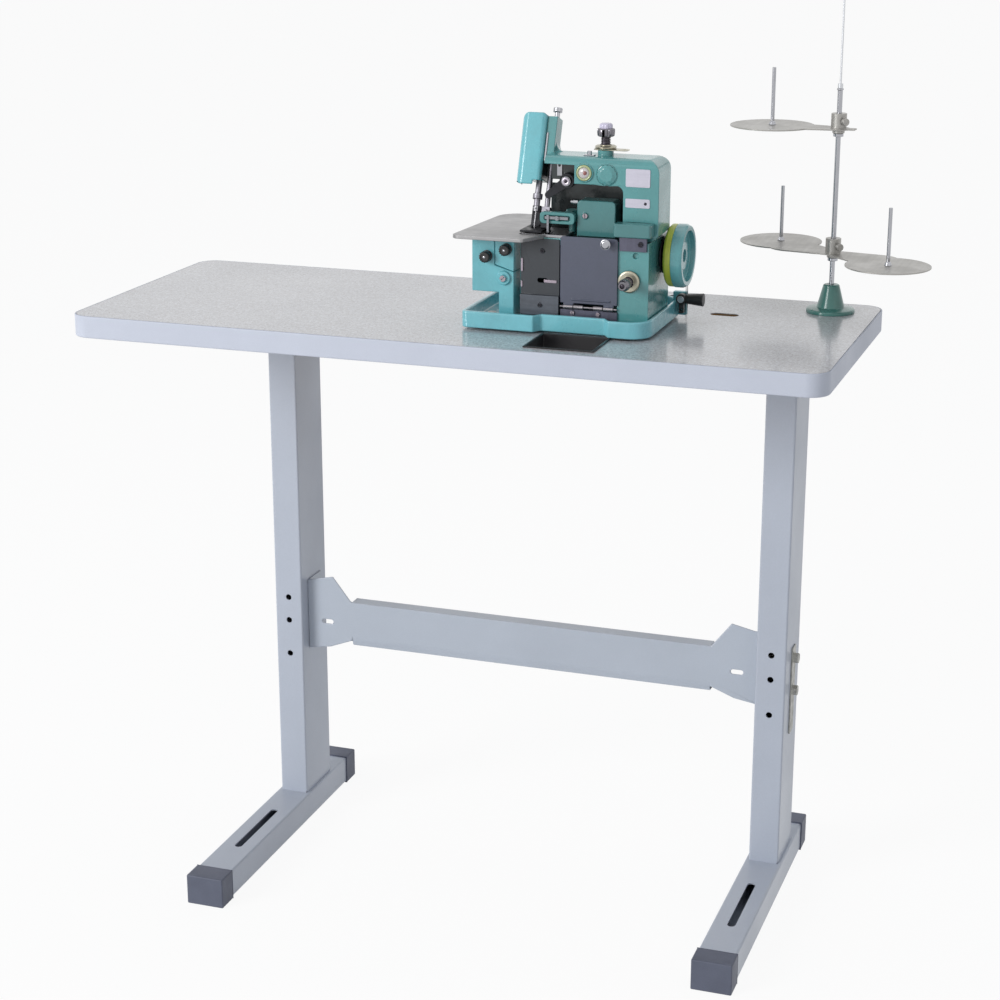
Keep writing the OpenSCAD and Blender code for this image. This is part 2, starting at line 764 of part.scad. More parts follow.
module base_pads() color([0.10, 0.10, 0.11]) at_head() for (p = stud_places) difference() {
    rod_z(p[0], p[1], 0, pad_t, 12);
    rod_z(p[0], p[1], -1, pad_t + 1, stud_r + stud_gap);
}

module head_studs() color(steel) at_head() for (p = stud_places) translate([p[0], p[1], 0]) {
    translate([0, 0, house_z0 + 4]) cylinder(h = 1.2, r = 7.5);
    translate([0, 0, house_z0 + 5.2 - eps]) hex(5.5, 5);
    translate([0, 0, -core_t - laminate_t - 14]) cylinder(h = core_t + laminate_t + 14 + house_z0 + 6,
        r = stud_r);
    translate([0, 0, -core_t - laminate_t - 1.5]) cylinder(h = 1.5, r = 9);
    translate([0, 0, -core_t - laminate_t - 6.5]) hex(5.5, 5 + eps);
}

// ---- head: main frame ----

window = [60.5, 100, 29, 68];
rod_hole = [108, 60];
knife_rod_r = 4;
knife_x = 86.4;
lower_looper_axis = [92, 34];
upper_looper_axis = [140, 44];
looper_shaft_r = 4;
feed_rod_z = 66;
feed_rod_x = 70;
feed_rod_r = 3;
bush_r = shaft_r + 3;
lever_x = 105;
lever_z = 168;
lever_pin_r = 3.5;
cover_screw_r = 1.6;
rear_screws = [for (x = [house_x0 + 9, house_x1 - 9]) for (z = [house_z0 + 12, house_z1 - 9]) [x, z]];

module housing() {
    difference() {
        box([house_x0, house_y0, house_z0], [house_x1, house_y1, house_z1]);
        // chamber, open at the front behind the covers
        box([house_x0 + cast_wall, house_y0 - 1, house_z0 + cast_wall],
            [block_x0 - 2, house_y1 - cast_wall, house_z1 - cast_wall - 2]);
        // chamber behind the right-hand block
        box([block_x0 + cast_wall, house_y0 + cast_wall + 2, house_z0 + cast_wall],
            [house_x1 - cast_wall, house_y1 - cast_wall, house_z1 - cast_wall - 2]);
        // openings in the back, behind the rear cover
        box([house_x0 + 16, house_y1 - cast_wall - 1, house_z0 + 18],
            [lower_looper_axis[0] + 34, house_y1 + 1, house_z1 - 15]);
        box([upper_looper_axis[0] + 12, house_y1 - cast_wall - 1, house_z0 + 18],
            [house_x1 - 16, house_y1 + 1, house_z1 - 15]);
        // window under the throat plate
        box([window[0], window[2], house_z1 - cast_wall - 3], [window[1], window[3], house_z1 + 1]);
        // dark recess in the right-hand block's front
        rod_y(front_tension_x + 7, house_y0 - 1, house_y0 + 3, front_tension_z + 29, 3.2);
    }
    // bosses for the looper shafts, from the back wall
    for (a = [lower_looper_axis, upper_looper_axis])
        rod_y(a[0], house_y1 - cast_wall - 12, house_y1 - eps, a[1], looper_shaft_r + 5);
    rod_y(feed_rod_x, house_y1 - cast_wall - 4, house_y1 - eps, feed_rod_z, feed_rod_r + 4);
}

module column_and_arm() {
    r = arm_corner_r;
    q = 8;
    intersection() {
        from_front(arm_y0, arm_y1) polygon(concat(
            [[column_x1, house_z1 + 6], [column_x1, arm_z1 - r]],
            arc(column_x1 - r, arm_z1 - r, r, 0, 90, 8),
            [[arm_x0, arm_z1], [arm_x0, arm_z0]],
            arc(column_x0 - q, arm_z0 - q, q, 90, 0, 6),
            [[column_x0, house_z1 - eps], [house_x1, house_z1 - eps]]));
        translate([arm_x0 - 1, 0, 0]) rotate([90, 0, 90]) linear_extrude(column_x1 - arm_x0 + 2)
            polygon(round_rect(arm_y0, arm_y1, house_z1 - 1, arm_z1, [0.5, 0.5, arm_edge_r, arm_edge_r]));
    }
}

module main_frame() color(teal) difference() {
    union() {
        at_head() housing();
        at_head() difference() {
            column_and_arm();
            // hollow of the arm and column, open to the housing
            box([pocket_x1 + cast_wall, arm_y0 + cast_wall, arm_z0 + cast_wall],
                [column_x1 - cast_wall, arm_y1 - cast_wall, arm_z1 - cast_wall]);
            box([column_x0 + cast_wall, arm_y0 + cast_wall, house_z1 - 10],
                [house_x1 - cast_wall, arm_y1 - cast_wall, arm_z1 - cast_wall]);
            // pocket for the needle lever
            box([house_x0 - 6, arm_y0 - 1, arm_z0 - 20], [pocket_x1, pocket_y1, arm_z1 - 9]);
        }
        at_head() {
            rod_z(top_tension_x, (arm_y0 + arm_y1) / 2, arm_z1 - cast_wall, arm_z1 + 6, 9);
            rod_y(boss_x, arm_y0 - 1.5, arm_y0 + cast_wall, sight_z - 1, boss_r);
            translate([boss_x, arm_y0 - 1.5 + eps, sight_z - 1]) rotate([90, 0, 0])
                cylinder(h = 2.5, r1 = boss_r - 1, r2 = boss_r - 5);
            rod_y(sight_x, arm_y0 - 2, arm_y0 + cast_wall, sight_z, sight_r + 1.5);
        }
        // leaning needle bar head
        at_needle() {
            box([-10, -12, 57], [6, 12, head_top]);
            box([5, -12, 78], [head_w, 9, head_top]);
            box([-2, 6, 64], [head_w, 20, head_top - 34]);
            // hollow curve from the head into the arm's top
            from_front(-6, 9) polygon(concat([[head_w - 1, arm_join], [head_w + 12, arm_join]],
                arc(head_w + 12, arm_join + 18, 12, 270, 180, 8), [[head_w - 1, arm_join + 18]]));
        }
    }
    at_needle() {
        translate([0, 0, 40]) cylinder(h = head_top - 44, r = needle_bar_r + run_gap);
        translate([presser_dx, 0, 60]) cylinder(h = 80, r = presser_bar_r + run_gap);
        // clear of the presser bar below its guide
        translate([presser_dx, 0, 40]) cylinder(h = 39, r = presser_bar_r + 1);
    }
    at_head() {
        // main shaft bushes in the left wall, the partition and the right wall
        rod_x(house_x0 - 1, house_x1 + 1, shaft_y, shaft_z, bush_r);
        for (a = [lower_looper_axis, upper_looper_axis])
            rod_y(a[0], house_y1 - cast_wall - 13, house_y1 + 1, a[1], looper_shaft_r + run_gap);
        rod_y(feed_rod_x, house_y1 - cast_wall - 5, house_y1 + 1, feed_rod_z, feed_rod_r + run_gap);
        rod_z(rod_hole[0], rod_hole[1], house_z1 - 12, house_z1 + 1, knife_rod_r + run_gap);
        rod_y(lever_x, pocket_y1 - 1, arm_y1 + 1, lever_z, lever_pin_r + run_gap);
        rod_z(top_tension_x, (arm_y0 + arm_y1) / 2, arm_z1 - 12, arm_z1 + 7, post_bore);
        rod_y(front_tension_x, house_y0 - 1, house_y0 + 10, front_tension_z, post_bore);
        rod_y(sight_x, arm_y0 - 3, arm_y0 + 4, sight_z, sight_r);
        for (p = rear_screws) rod_y(p[0], house_y1 - 5, house_y1 + 1, p[1], cover_screw_r + run_gap);
    }
}

head_top = 129;
arm_join = 84;
sight_x = 129;
boss_x = 155;
boss_r = 12;
sight_z = 180;
sight_r = 9;

// Block with rounded upright edges that is rounded again as seen from the front.
module domed(x0, x1, y0, y1, z0, z1, plan_r, front_r) intersection() {
    translate([0, 0, z0]) linear_extrude(z1 - z0) polygon(round_rect(x0, x1, y0, y1, plan_r));
    from_front(y0, y1) polygon(round_rect(x0, x1, z0, z1, front_r));
}

// Convex cover over the needle bar head, open below and at its back.
module face_cover() color(teal) at_needle() {
    x1 = 6;
    x0 = x1 - face_cover_w;
    y0 = -17;
    y1 = y0 + face_cover_d;
    z1 = face_cover_z + face_cover_h;
    t = shell_t;
    difference() {
        domed(x0, x1, y0, y1, face_cover_z, z1, [9, 5, 1, 9], [7, 1, 6, 9]);
        domed(x0 + t, x1 - t, y0 + t, y1 + 10, face_cover_z - 12, z1 - t, [7, 3, 1, 1], [1, 1, 4, 7]);
        box([-10.3, -12.3, face_cover_z - 1], [x1 + 1, y1 + 1, head_top]);
        // short notch at the lower right
        box([x1 - 9, y0 - 1, face_cover_z - 1], [x1 + 1, y1, face_cover_z + 5]);
    }
}

// Sheet over the housing's back, whose upper part stands behind the throat up to the arm.
module rear_cover() color(dark_grey) at_head() {
    y0 = house_y1;
    difference() {
        union() {
            from_front(y0, y0 + cover_t)
                polygon(round_rect(house_x0 + 3, house_x1 - 3, house_z0 + 5, house_z1 + 2, [6, 6, 2, 2]));
            box([pocket_x1 - 43, arm_y1, house_z1], [column_x0 + 20, y0 + cover_t, house_z1 + 2]);
            box([pocket_x1 - 20, arm_y1, house_z1], [column_x0 + 20, arm_y1 + 2, arm_z0 + 12]);
            box([pocket_x1 - 43, arm_y1, house_z1], [pocket_x1 - 20 + eps, arm_y1 + 2, arm_z0 - 8]);
        }
        for (p = rear_screws) rod_y(p[0], y0 - 1, y0 + 10, p[1], cover_screw_r + run_gap);
    }
    for (p = rear_screws) {
        translate([p[0], y0 + cover_t, p[1]]) rotate([-90, 0, 0]) screw_head(3.5, 2);
        rod_y(p[0], y0 - 4, y0 + cover_t + eps, p[1], cover_screw_r);
    }
}

block_h = 41;
block_d = 24;

// Fixed block between the throat and the column, and the small box where the column meets the housing.
module block_covers() color(teal) at_head() {
    x0 = pocket_x1 + 2;
    x1 = column_x0 - 10;
    from_front(arm_y0 + 6, arm_y0 + 6 + block_d)
        polygon(round_rect(x0, x1, house_z1, house_z1 + block_h, [0.5, 0.5, 5, 5]));
    translate([x0 + 10, arm_y0 + 6, house_z1 + block_h - 17]) rotate([90, 0, 0]) screw_head(3.4, 2.2);
    translate([0, 0, house_z1 + 6]) linear_extrude(15)
        polygon(round_rect(column_x0 - 6, column_x1 - 4, arm_y0 - 17, arm_y0 - 1, [3, 3, 0.5, 0.5]));
    box([column_x0 + 6, arm_y0 - 2, house_z1 + 7], [column_x1 - 12, arm_y0, house_z1 + 20]);
}

upper_label = [arm_z0, arm_z0 + 20];
lower_label = [upper_label[0] - 23, upper_label[0] - 13];
label_t = 0.8;
label_rivet_r = 1.5;

// Two blank plates on the column's front, with a rivet in the lower one.
module nameplates() color([0.82, 0.84, 0.86]) at_head() {
    x0 = column_x0 + 3;
    x1 = column_x1 - 10;
    rivet_z = (lower_label[0] + lower_label[1]) / 2;
    box([x0, arm_y0 - label_t, upper_label[0]], [x1, arm_y0, upper_label[1]]);
    difference() {
        box([x0, arm_y0 - label_t, lower_label[0]], [x1, arm_y0, lower_label[1]]);
        rod_y(x1 - 5, arm_y0 - 1, arm_y0 + 1, rivet_z, label_rivet_r + run_gap);
    }
    translate([x1 - 5, arm_y0, rivet_z]) rotate([90, 0, 0]) cylinder(h = label_t * 2, r = label_rivet_r);
}

module oil_sight() color([0.88, 0.84, 0.62]) at_head() {
    rod_y(sight_x, arm_y0 - 3, arm_y0 + 3.5, sight_z, sight_r - run_gap);
    translate([sight_x, arm_y0 - 2.6, sight_z]) rotate([90, 0, 0]) cylinder(h = 1.2, r = 3);
}

// ---- head: front covers ----

hinge_z = cover_z0 - hinge_r;
hinge_y = house_y0 - cover_t - 0.3;

module front_cover() color(dark_grey) at_head() {
    y0 = house_y0 - cover_t - 0.3;
    difference() {
        union() {
            from_front(y0, y0 + cover_t)
                polygon(round_rect(cover_x0, cover_x1, cover_z0 + 1.5, cover_z1, [1, 1, 3, 3]));
            // lengthwise fold along the cover's lower edge
            box([cover_x0 + 14, y0 - 1.2, cover_z0 + 5], [cover_x1 - 8, y0 + eps, cover_z0 + 7]);
            // two barrels and the webs that carry them
            for (x = barrel_x) {
                rod_x(x, x + hinge_barrel_l, hinge_y, hinge_z, hinge_r);
                box([x, hinge_y, hinge_z], [x + hinge_barrel_l, hinge_y + cover_t, cover_z0 + 3]);
            }
        }
        rod_x(cover_x0 - 1, cover_x1 + 1, hinge_y, hinge_z, hinge_pin_r + run_gap);
        rod_y(latch_x, y0 - 1, y0 + 10, latch_z, 2 + run_gap);
    }
}

barrel_x = [cover_x0 + 4, cover_x1 - 4 - hinge_barrel_l];
latch_x = cover_x1 - 12;
latch_z = cover_z1 - 5;

module cover_latch_knob() color(steel) at_head() translate([latch_x, house_y0 - 0.3, latch_z])
    rotate([90, 0, 0]) {
    cylinder(h = 9, r = 2);
    translate([0, 0, cover_t + 0.3]) cylinder(h = 3, r = 3.4);
    translate([0, 0, cover_t + 3.3]) cylinder(h = 5.5, r1 = 3.6, r2 = 5.4);
    translate([0, 0, cover_t + 8.8 - eps]) cylinder(h = 2, r1 = 5.4, r2 = 3.6);
}

// Strip screwed to the housing, whose two barrels carry the cover's pin.
module hinge_strip() {
    y0 = house_y0 - cover_t;
    gap = 0.4;
    box([cover_x0, y0, rim_z - 5.6], [cover_x1, house_y0, hinge_z - hinge_r - 0.6]);
    for (x = strip_barrel_x) {
        rod_x(x + gap, x + hinge_barrel_l - gap, hinge_y, hinge_z, hinge_r);
        box([x + gap, y0, hinge_z - hinge_r - 1], [x + hinge_barrel_l - gap, house_y0, hinge_z]);
    }
    rod_x(cover_x0, cover_x1, hinge_y, hinge_z, hinge_pin_r);
    for (x = [cover_x0 + 15, cover_x1 - 22])
        translate([x, y0, (rim_z + hinge_z) / 2 - 2]) rotate([90, 0, 0]) screw_head(2.6, 1.6);
}

strip_barrel_x = [barrel_x[0] + hinge_barrel_l, barrel_x[1] - hinge_barrel_l];

module left_front_plate() color([0.30, 0.31, 0.34]) at_head() {
    x0 = house_x0 + 1;
    x1 = cover_x0 - 1;
    y0 = house_y0 - 2;
    difference() {
        union() {
            from_front(y0, house_y0)
                polygon(round_rect(x0, x1, rim_z - 6, house_z1 - 1.6, [0.5, 0.5, 2, 2]));
            // lower half bent forward
            box([x0, y0 - 3, rim_z - 3], [x1, y0 + eps, rim_z + 20]);
        }
        translate([x0 + 26, y0 + 1, 58]) rotate([90, 0, 0]) slot_hole(0, 0, 12, 5, -2, 2);
    }
    translate([x0 + 26, y0, 92]) rotate([90, 0, 0]) screw_head(2.6, 1.4);
    translate([x0 + 24, y0 - 3, rim_z + 9]) rotate([90, 0, 0]) screw_head(2.6, 1.4);
}

// Flat bar on the right-hand block, beside the cover's top edge.
module latch_bar() {
    box([block_x0 + 0.5, house_y0 - 3, house_z1 - 9.5], [house_x1 - 2, house_y0, house_z1 + 5.6]);
    translate([house_x1 - 9, house_y0 - 3, house_z1 - 1]) rotate([90, 0, 0]) screw_head(3, 1.6);
}

module cover_strips() color([0.33, 0.29, 0.33]) at_head() {
    hinge_strip();
    latch_bar();
}

// ---- head: cloth plate, its bracket and the throat ----

cloth_pivot = [house_x0 - 12, cloth_y1 - 12];
pivot_pin_r = 3;
carrier_z1 = throat_z - cloth_t;

module cloth_plate() color([0.74, 0.73, 0.70]) at_head() difference() {
    z0 = throat_z - cloth_t;
    x1 = house_x0 - 0.6;
    tongue_y1 = cloth_y0 + tongue_d;
    r = cloth_corner_r;
    translate([0, 0, z0]) linear_extrude(cloth_t) polygon(concat(
        arc(cloth_x0 + 10, cloth_y0 + 10, 10, 180, 270, 8),
        arc(tongue_x1 - tongue_slant - 4, cloth_y0 + 4, 4, 270, 336, 5),
        [[tongue_x1, tongue_y1], [x1, tongue_y1], [x1, cloth_y1 - 10]],
        arc(x1 - 10, cloth_y1 - 10, 10, 0, 90, 6),
        arc(cloth_x0 + cloth_slant + r, cloth_y1 - r, r, 90, 177, 12)));
    rod_z(cloth_pivot[0], cloth_pivot[1], z0 - 1, throat_z + 1, pivot_pin_r + run_gap);
}

// Clamp block in the bracket's upper right corner.
module plate_carrier() color(teal) at_head() difference() {
    from_front(bracket_y0, bracket_y0 + bracket_d)
        polygon([[bracket_split + 0.6, split_z + 0.6], [bracket_x1, split_z - 6.4],
            [bracket_x1, carrier_z1 - 0.4],
            [bracket_split + 0.6, carrier_z1 - 0.4]]);
    rod_y(knob_b[0], bracket_y0 - 1, bracket_y0 + 12, knob_b[1], 2.5 + run_gap);
}

split_z = 73;
knob_a = [20, 83];
knob_b = [43.5, 92];
boss_place = [40.5, 59];

module thumb_knob() {
    translate([0, 0, -10]) cylinder(h = 10.3, r = 2.5);
    translate([0, 0, 0.3]) cylinder(h = 3, r = 4.2);
    translate([0, 0, 3.3 - eps]) cylinder(h = 6, r = 6.6);
    translate([0, 0, 9.3 - 2 * eps]) cylinder(h = 1.4, r1 = 6.6, r2 = 5);
}

module carrier_knob() color(black) at_head() translate([knob_a[0], bracket_y0, knob_a[1]])
    rotate([90, 0, 0]) thumb_knob();

module bracket_knob() color(black) at_head() translate([knob_b[0], bracket_y0, knob_b[1]])
    rotate([90, 0, 0]) thumb_knob();

// Fixed bracket on the base, with the pin that the cloth plate turns on.
module plate_bracket() color(teal) at_head() {
    difference() {
        union() {
            from_front(bracket_y0, bracket_y0 + bracket_d)
                polygon([[bracket_x0, bracket_z0], [bracket_split + 5, bracket_z0],
                    [bracket_split + 5, house_z0],
                    [bracket_x1, house_z0], [bracket_x1, split_z - 7], [bracket_split, split_z],
                    [bracket_split, carrier_z1 - 0.4], [bracket_x0, carrier_z1 - 0.4]]);
            // arm that reaches back to the pin
            box([bracket_split - 14, bracket_y0 + bracket_d - eps, carrier_z1 - 14],
                [bracket_split, cloth_pivot[1], carrier_z1 - 0.4]);
            box([bracket_split - 14, cloth_pivot[1] - 8, carrier_z1 - 14],
                [cloth_pivot[0], cloth_pivot[1] + 4, carrier_z1 - 0.4]);
            rod_z(cloth_pivot[0], cloth_pivot[1], carrier_z1 - 14, carrier_z1 - 0.4, 8);
            rod_y(boss_place[0], bracket_y0 - 3, bracket_y0 + eps, boss_place[1], 8);
        }
        rod_y(knob_a[0], bracket_y0 - 1, bracket_y0 + 12, knob_a[1], 2.5 + run_gap);
        rod_z(stud_places[0][0], stud_places[0][1], house_z0 - 1, house_z0 + 12, 9);
    }
    rod_z(cloth_pivot[0], cloth_pivot[1], carrier_z1 - 2, throat_z - 0.3, pivot_pin_r);
    translate([boss_place[0], bracket_y0 - 3, boss_place[1]]) rotate([90, 0, 0]) screw_head(4.2, 2.4);
}

dog_x = [61, 71];
dog_w = 3.4;

module throat_plate() color(steel) at_head() difference() {
    box([house_x0, house_y0 + 1, house_z1], [pocket_x1 - 6, 72, throat_z]);
    box([needle_x - 2, needle_y - 5, house_z1 - 1], [needle_x + 2, needle_y + 5, throat_z + 1]);
    for (x = dog_x) box([x, needle_y - 14, house_z1 - 1], [x + dog_w + 1, needle_y + 18, throat_z + 1]);
    box([83, 27, house_z1 - 1], [92, 42, throat_z + 1]);
    rod_z(rod_hole[0], rod_hole[1], house_z1 - 1, throat_z + 1, knife_rod_r + 1);
    // clear of the cloth plate's tongue
    box([house_x0 - 1, house_y0, house_z1 - 1], [tongue_x1 + 0.5, cloth_y0 + tongue_d + 0.4, throat_z + 1]);
}

// Toothed bars on a carrier that slides on the feed rod.
module feed_dog() color(steel) at_head() difference() {
    union() {
        for (x = dog_x) {
            box([x + 0.5, needle_y - 11, feed_bar_z1 - 4],
                [x + 0.5 + dog_w, needle_y + 14, throat_z - 0.2]);
            for (i = [0:8]) translate([x + 0.5, needle_y - 10.5 + i * 2.6, throat_z - 0.2 - eps])
                rotate([90, 0, 90]) linear_extrude(dog_w) polygon([[0, 0], [2.2, 0], [1.1, 0.9]]);
        }
        box([feed_rod_x - 8, needle_y - 11, feed_bar_z1 - 4], [feed_rod_x + 6, needle_y + 14, feed_bar_z1]);
        box([feed_rod_x - 3, needle_y - 8, feed_rod_z], [feed_rod_x + 3, needle_y + 10, feed_bar_z1 - 2]);
        rod_y(feed_rod_x, needle_y - 11, needle_y + 14, feed_rod_z, feed_rod_r + 3);
    }
    rod_y(feed_rod_x, needle_y - 20, needle_y + 20, feed_rod_z, feed_rod_r + run_gap);
    box([needle_x - 2.5, needle_y - 8, feed_bar_z1 - 14], [needle_x + 2.5, needle_y + 7, feed_bar_z1 + 1]);
}

feed_bar_z1 = 104;

// ---- head: needle, presser, knives and loopers ----

module needle_bar() color(steel) at_needle() {
    translate([0, 0, needle_bar_z]) cylinder(h = needle_bar_l, r = needle_bar_r);
    // collar for the needle lever's link
    translate([0, 0, face_cover_z - 14]) cylinder(h = 6, r = needle_bar_r + 2);
}

module needle() color(steel) at_needle() {
    translate([0, 0, needle_bar_z - 6]) cylinder(h = 6, r = 3.2);
    translate([0, 0, 8]) cylinder(h = needle_bar_z - 14 + eps, r = 0.9);
    translate([0, 0, 2]) cylinder(h = 6 + eps, r1 = 0.3, r2 = 0.9);
    translate([0, 0, needle_bar_z - 3]) rotate([90, 0, 0]) cylinder(h = 6, r = 1.3);
}

module needle_lever() color([0.45, 0.46, 0.48]) at_head() difference() {
    y0 = 47;
    y1 = 54;
    union() {
        rod_y(lever_x, y0 - 1, y1 + 2, lever_z, 8.5);
        from_front(y0, y1) hull() {
            translate([lever_x - 2, lever_z - 2]) circle(6);
            translate([lever_x - 22, lever_z - 17]) circle(4);
        }
    }
    rod_y(lever_x, y0 - 2, y1 + 3, lever_z, lever_pin_r + run_gap);
}

module presser_bar() color(steel) at_needle() translate([presser_dx, 0, 0]) {
    translate([0, 0, presser_bar_z]) cylinder(h = presser_bar_l, r = presser_bar_r);
    box([-4.5, -5, 15], [5, 5, 27]);
    rotate([90, 0, 0]) translate([0, 21, 5]) cylinder(h = 3, r = 3);
}

presser_bar_z = 16;
presser_bar_l = 98;

// Sole under the needle, and the arm that carries it behind the needle bar.
module presser_foot() color([0.08, 0.08, 0.09]) {
    at_head() difference() {
        box([needle_x - 10, needle_y - 21, throat_z + sole_gap],
            [needle_x + presser_dx + 3, needle_y + 16, throat_z + sole_gap + 2.4]);
        box([needle_x - 2.5, needle_y - 6, throat_z - 1], [needle_x + 2.5, needle_y + 6, throat_z + 5]);
    }
    at_needle() {
        box([presser_dx - 4, -4, 3.2], [presser_dx + 4, 4, 15]);
        box([-7, 7.4, 6], [3, 12, 30]);
        box([-7, 7.4, 8], [presser_dx + 4, 12, 15]);
        box([presser_dx - 4, 3, 8], [presser_dx + 4, 12, 15]);
    }
}

module presser_screw() color(steel) at_needle() translate([presser_dx, 0, 0]) {
    z = head_top + 7;
    z0 = presser_bar_z + presser_bar_l + presser_lift + 0.4;
    translate([0, 0, z0]) cylinder(h = z - z0 + eps, r = presser_bar_r);
    translate([0, 0, z]) screw_head(5.2, 5);
}

// Slotted arm on a rod that rises through the housing's top.
module knife_arm() color([0.30, 0.58, 0.58]) at_head() {
    z0 = 121;
    z1 = 134;
    y0 = 34;
    rod_z(rod_hole[0], rod_hole[1], 62, z0 + 1, knife_rod_r);
    rod_z(rod_hole[0], rod_hole[1], z0, z1, knife_rod_r + 3);
    difference() {
        from_front(y0, y0 + 8) polygon(round_rect(knife_x - 9, pocket_x1 + 1, z0, z1, [4, 4, 4, 4]));
        from_front(y0 - 5, y0 + 3) polygon(round_rect(knife_x - 4, pocket_x1 - 4, z0 + 3.6, z1 - 3.6, [2,
            2, 2, 2]));
    }
    box([rod_hole[0] - 4, y0 + 7, z0], [rod_hole[0] + 4, rod_hole[1], z1]);
}

// Blade clamped in the arm's slot by a flat bar.
module upper_knife() color([0.55, 0.57, 0.60]) at_head() {
    box([knife_x - 3, 33, 126], [pocket_x1 - 6, 37, 129.4]);
    box([knife_x, 31, throat_z + 1], [knife_x + 2.6, 33.4, 131]);
    box([knife_x, 31, throat_z + 1], [knife_x + 2.6, 39, 119.5]);
    translate([knife_x + 12, 33, 127.7]) rotate([90, 0, 0]) screw_head(2.6, 2);
}

module lower_knife() color(steel) at_head() {
    box([knife_x - 2.6, 29, 82], [knife_x - 0.4, 39, throat_z]);
    box([knife_x - 0.6, 28, 80], [knife_x + 10, 42, 96]);
    box([knife_x + 6, 28, 80], [window[1] + 5, 34, house_z1 - cast_wall - 2]);
    translate([knife_x + 4, 28, 88]) rotate([90, 0, 0]) screw_head(2.8, 1.6);
}

// Looper arm on its shaft, with a curved blade at its tip.
module looper(axis, y0, y1, length, lean, blade) {
    translate([axis[0], 0, axis[1]]) rotate([0, lean, 0]) difference() {
        union() {
            rod_y(0, y0, y1, 0, looper_shaft_r + 4);
            translate([-4, y0, 0]) cube([8, y1 - y0, length - 10]);
            translate([0, y1 - 1, 0]) rotate([90, 0, 0]) linear_extrude(y1 - y0 - 2)
                polygon([[-4, length - 12], [4, length - 12], [3, length - 4], [-blade, length],
                    [-blade, length - 2]]);
        }
        rod_y(0, y0 - 1, y1 + 1, 0, looper_shaft_r + run_gap);
    }
}

module lower_looper() color(steel) at_head() looper(lower_looper_axis, 44, 52, 62, 4, 12);

module upper_looper() color(steel) at_head() looper(upper_looper_axis, 64.6, 69.4, 52, -24, 10);

module pivot_shafts() color(steel) at_head() {
    rod_y(lower_looper_axis[0], 42, house_y1 - 0.5, lower_looper_axis[1], looper_shaft_r);
    rod_y(upper_looper_axis[0], 62, house_y1 - 0.5, upper_looper_axis[1], looper_shaft_r);
    rod_y(feed_rod_x, needle_y - 15, house_y1 - 0.5, feed_rod_z, feed_rod_r);
    rod_y(lever_x, 44, arm_y1 - 1, lever_z, lever_pin_r);
    // pin of the presser lift lever
    rod_y(lift_pivot[0], lift_pivot[1] - 0.5, lift_pivot[1] + lift_lever_t + 8, lift_pivot[2], lift_pin_r);
    rod_y(lift_pivot[0], lift_pivot[1] - 2, lift_pivot[1] - 0.4, lift_pivot[2], lift_pin_r + 1.5);
    for (a = [[lever_x, 43, lever_z], [lower_looper_axis[0], 41, lower_looper_axis[1]],
        [upper_looper_axis[0], 61, upper_looper_axis[1]]])
        rod_y(a[0], a[1], a[1] + 1.2, a[2], looper_shaft_r + 1.5);
}

// ---- head: drive ----

// Bushes pressed into the casting's left wall, its partition and its right wall.
module shaft_bushes() color([0.62, 0.50, 0.30]) at_head()
    for (x = [house_x0, block_x0 - 2, house_x1 - cast_wall]) difference() {
        rod_x(x, x + cast_wall, shaft_y, shaft_z, bush_r);
        rod_x(x - 1, x + cast_wall + 1, shaft_y, shaft_z, shaft_r + run_gap);
    }

// Shaft with three eccentrics.
module main_shaft() color(steel) at_head() {
    rod_x(house_x0 + 1, wheel_end - 8, shaft_y, shaft_z, shaft_r);
    for (i = [0:2]) rod_x(80 + 28 * i, 90 + 28 * i, shaft_y + 3 * cos(120 * i),
        shaft_z + 3 * sin(120 * i), shaft_r + 4.5);
}

module wheel_turn() {
    at_head() translate([0, shaft_y, shaft_z]) rotate([0, 90, 0]) rotate_extrude($fn = 96) children();
}

module handwheel() color(teal) {
    x1 = pulley_x + pulley_l;
    x2 = x1 + ring_l;
    hub_r = wheel_r - 12;
    wheel_turn() polygon([
        [shaft_r + run_gap, pulley_x], [pulley_r + 3, pulley_x], [pulley_r + 3, pulley_x + 1.5],
        [pulley_r - 4, pulley_x + pulley_l / 2], [pulley_r + 3, x1 - 1], [pulley_r + 3, x1],
        [hub_r, x1], [hub_r, x2], [wheel_r, x2], [wheel_r, wheel_end - 4],
        [wheel_r - 2, wheel_end], [wheel_r - 7, wheel_end], [wheel_r - 8, wheel_end - 6],
        [16, wheel_end - 9], [16, wheel_end - 5], [shaft_r + run_gap, wheel_end - 5]]);
}

// Ring pressed on the wheel beside the belt groove.
module belt_ring() color([0.72, 0.74, 0.24]) {
    x1 = pulley_x + pulley_l;
    x2 = x1 + ring_l;
    wheel_turn() polygon([[wheel_r - 12 + run_gap, x1], [wheel_r - 3, x1], [wheel_r - 0.5, x1 + 2.5],
        [wheel_r - 0.5, x2 - run_gap], [wheel_r - 12 + run_gap, x2 - run_gap]]);
}

// ---- head: tensions ----

// Post, two discs and a spring, standing up from z = 0.
module tension(post_below) {
    translate([0, 0, -post_below]) cylinder(h = post_below + 5 + spring_l + knob_l - 2, r = post_r);
    translate([0, 0, 0]) cylinder(h = 1.2, r1 = disc_r - 2, r2 = disc_r);
    translate([0, 0, 1.2]) cylinder(h = 1.6, r = disc_r - 3);
    translate([0, 0, 2.8]) cylinder(h = 1.2, r1 = disc_r, r2 = disc_r - 2);
    translate([0, 0, 4 - eps]) cylinder(h = 1, r = disc_r - 6);
    translate([0, 0, 5 - 2 * eps]) cylinder(h = spring_l - 0.4, r1 = post_r + 2, r2 = post_r + 1);
}

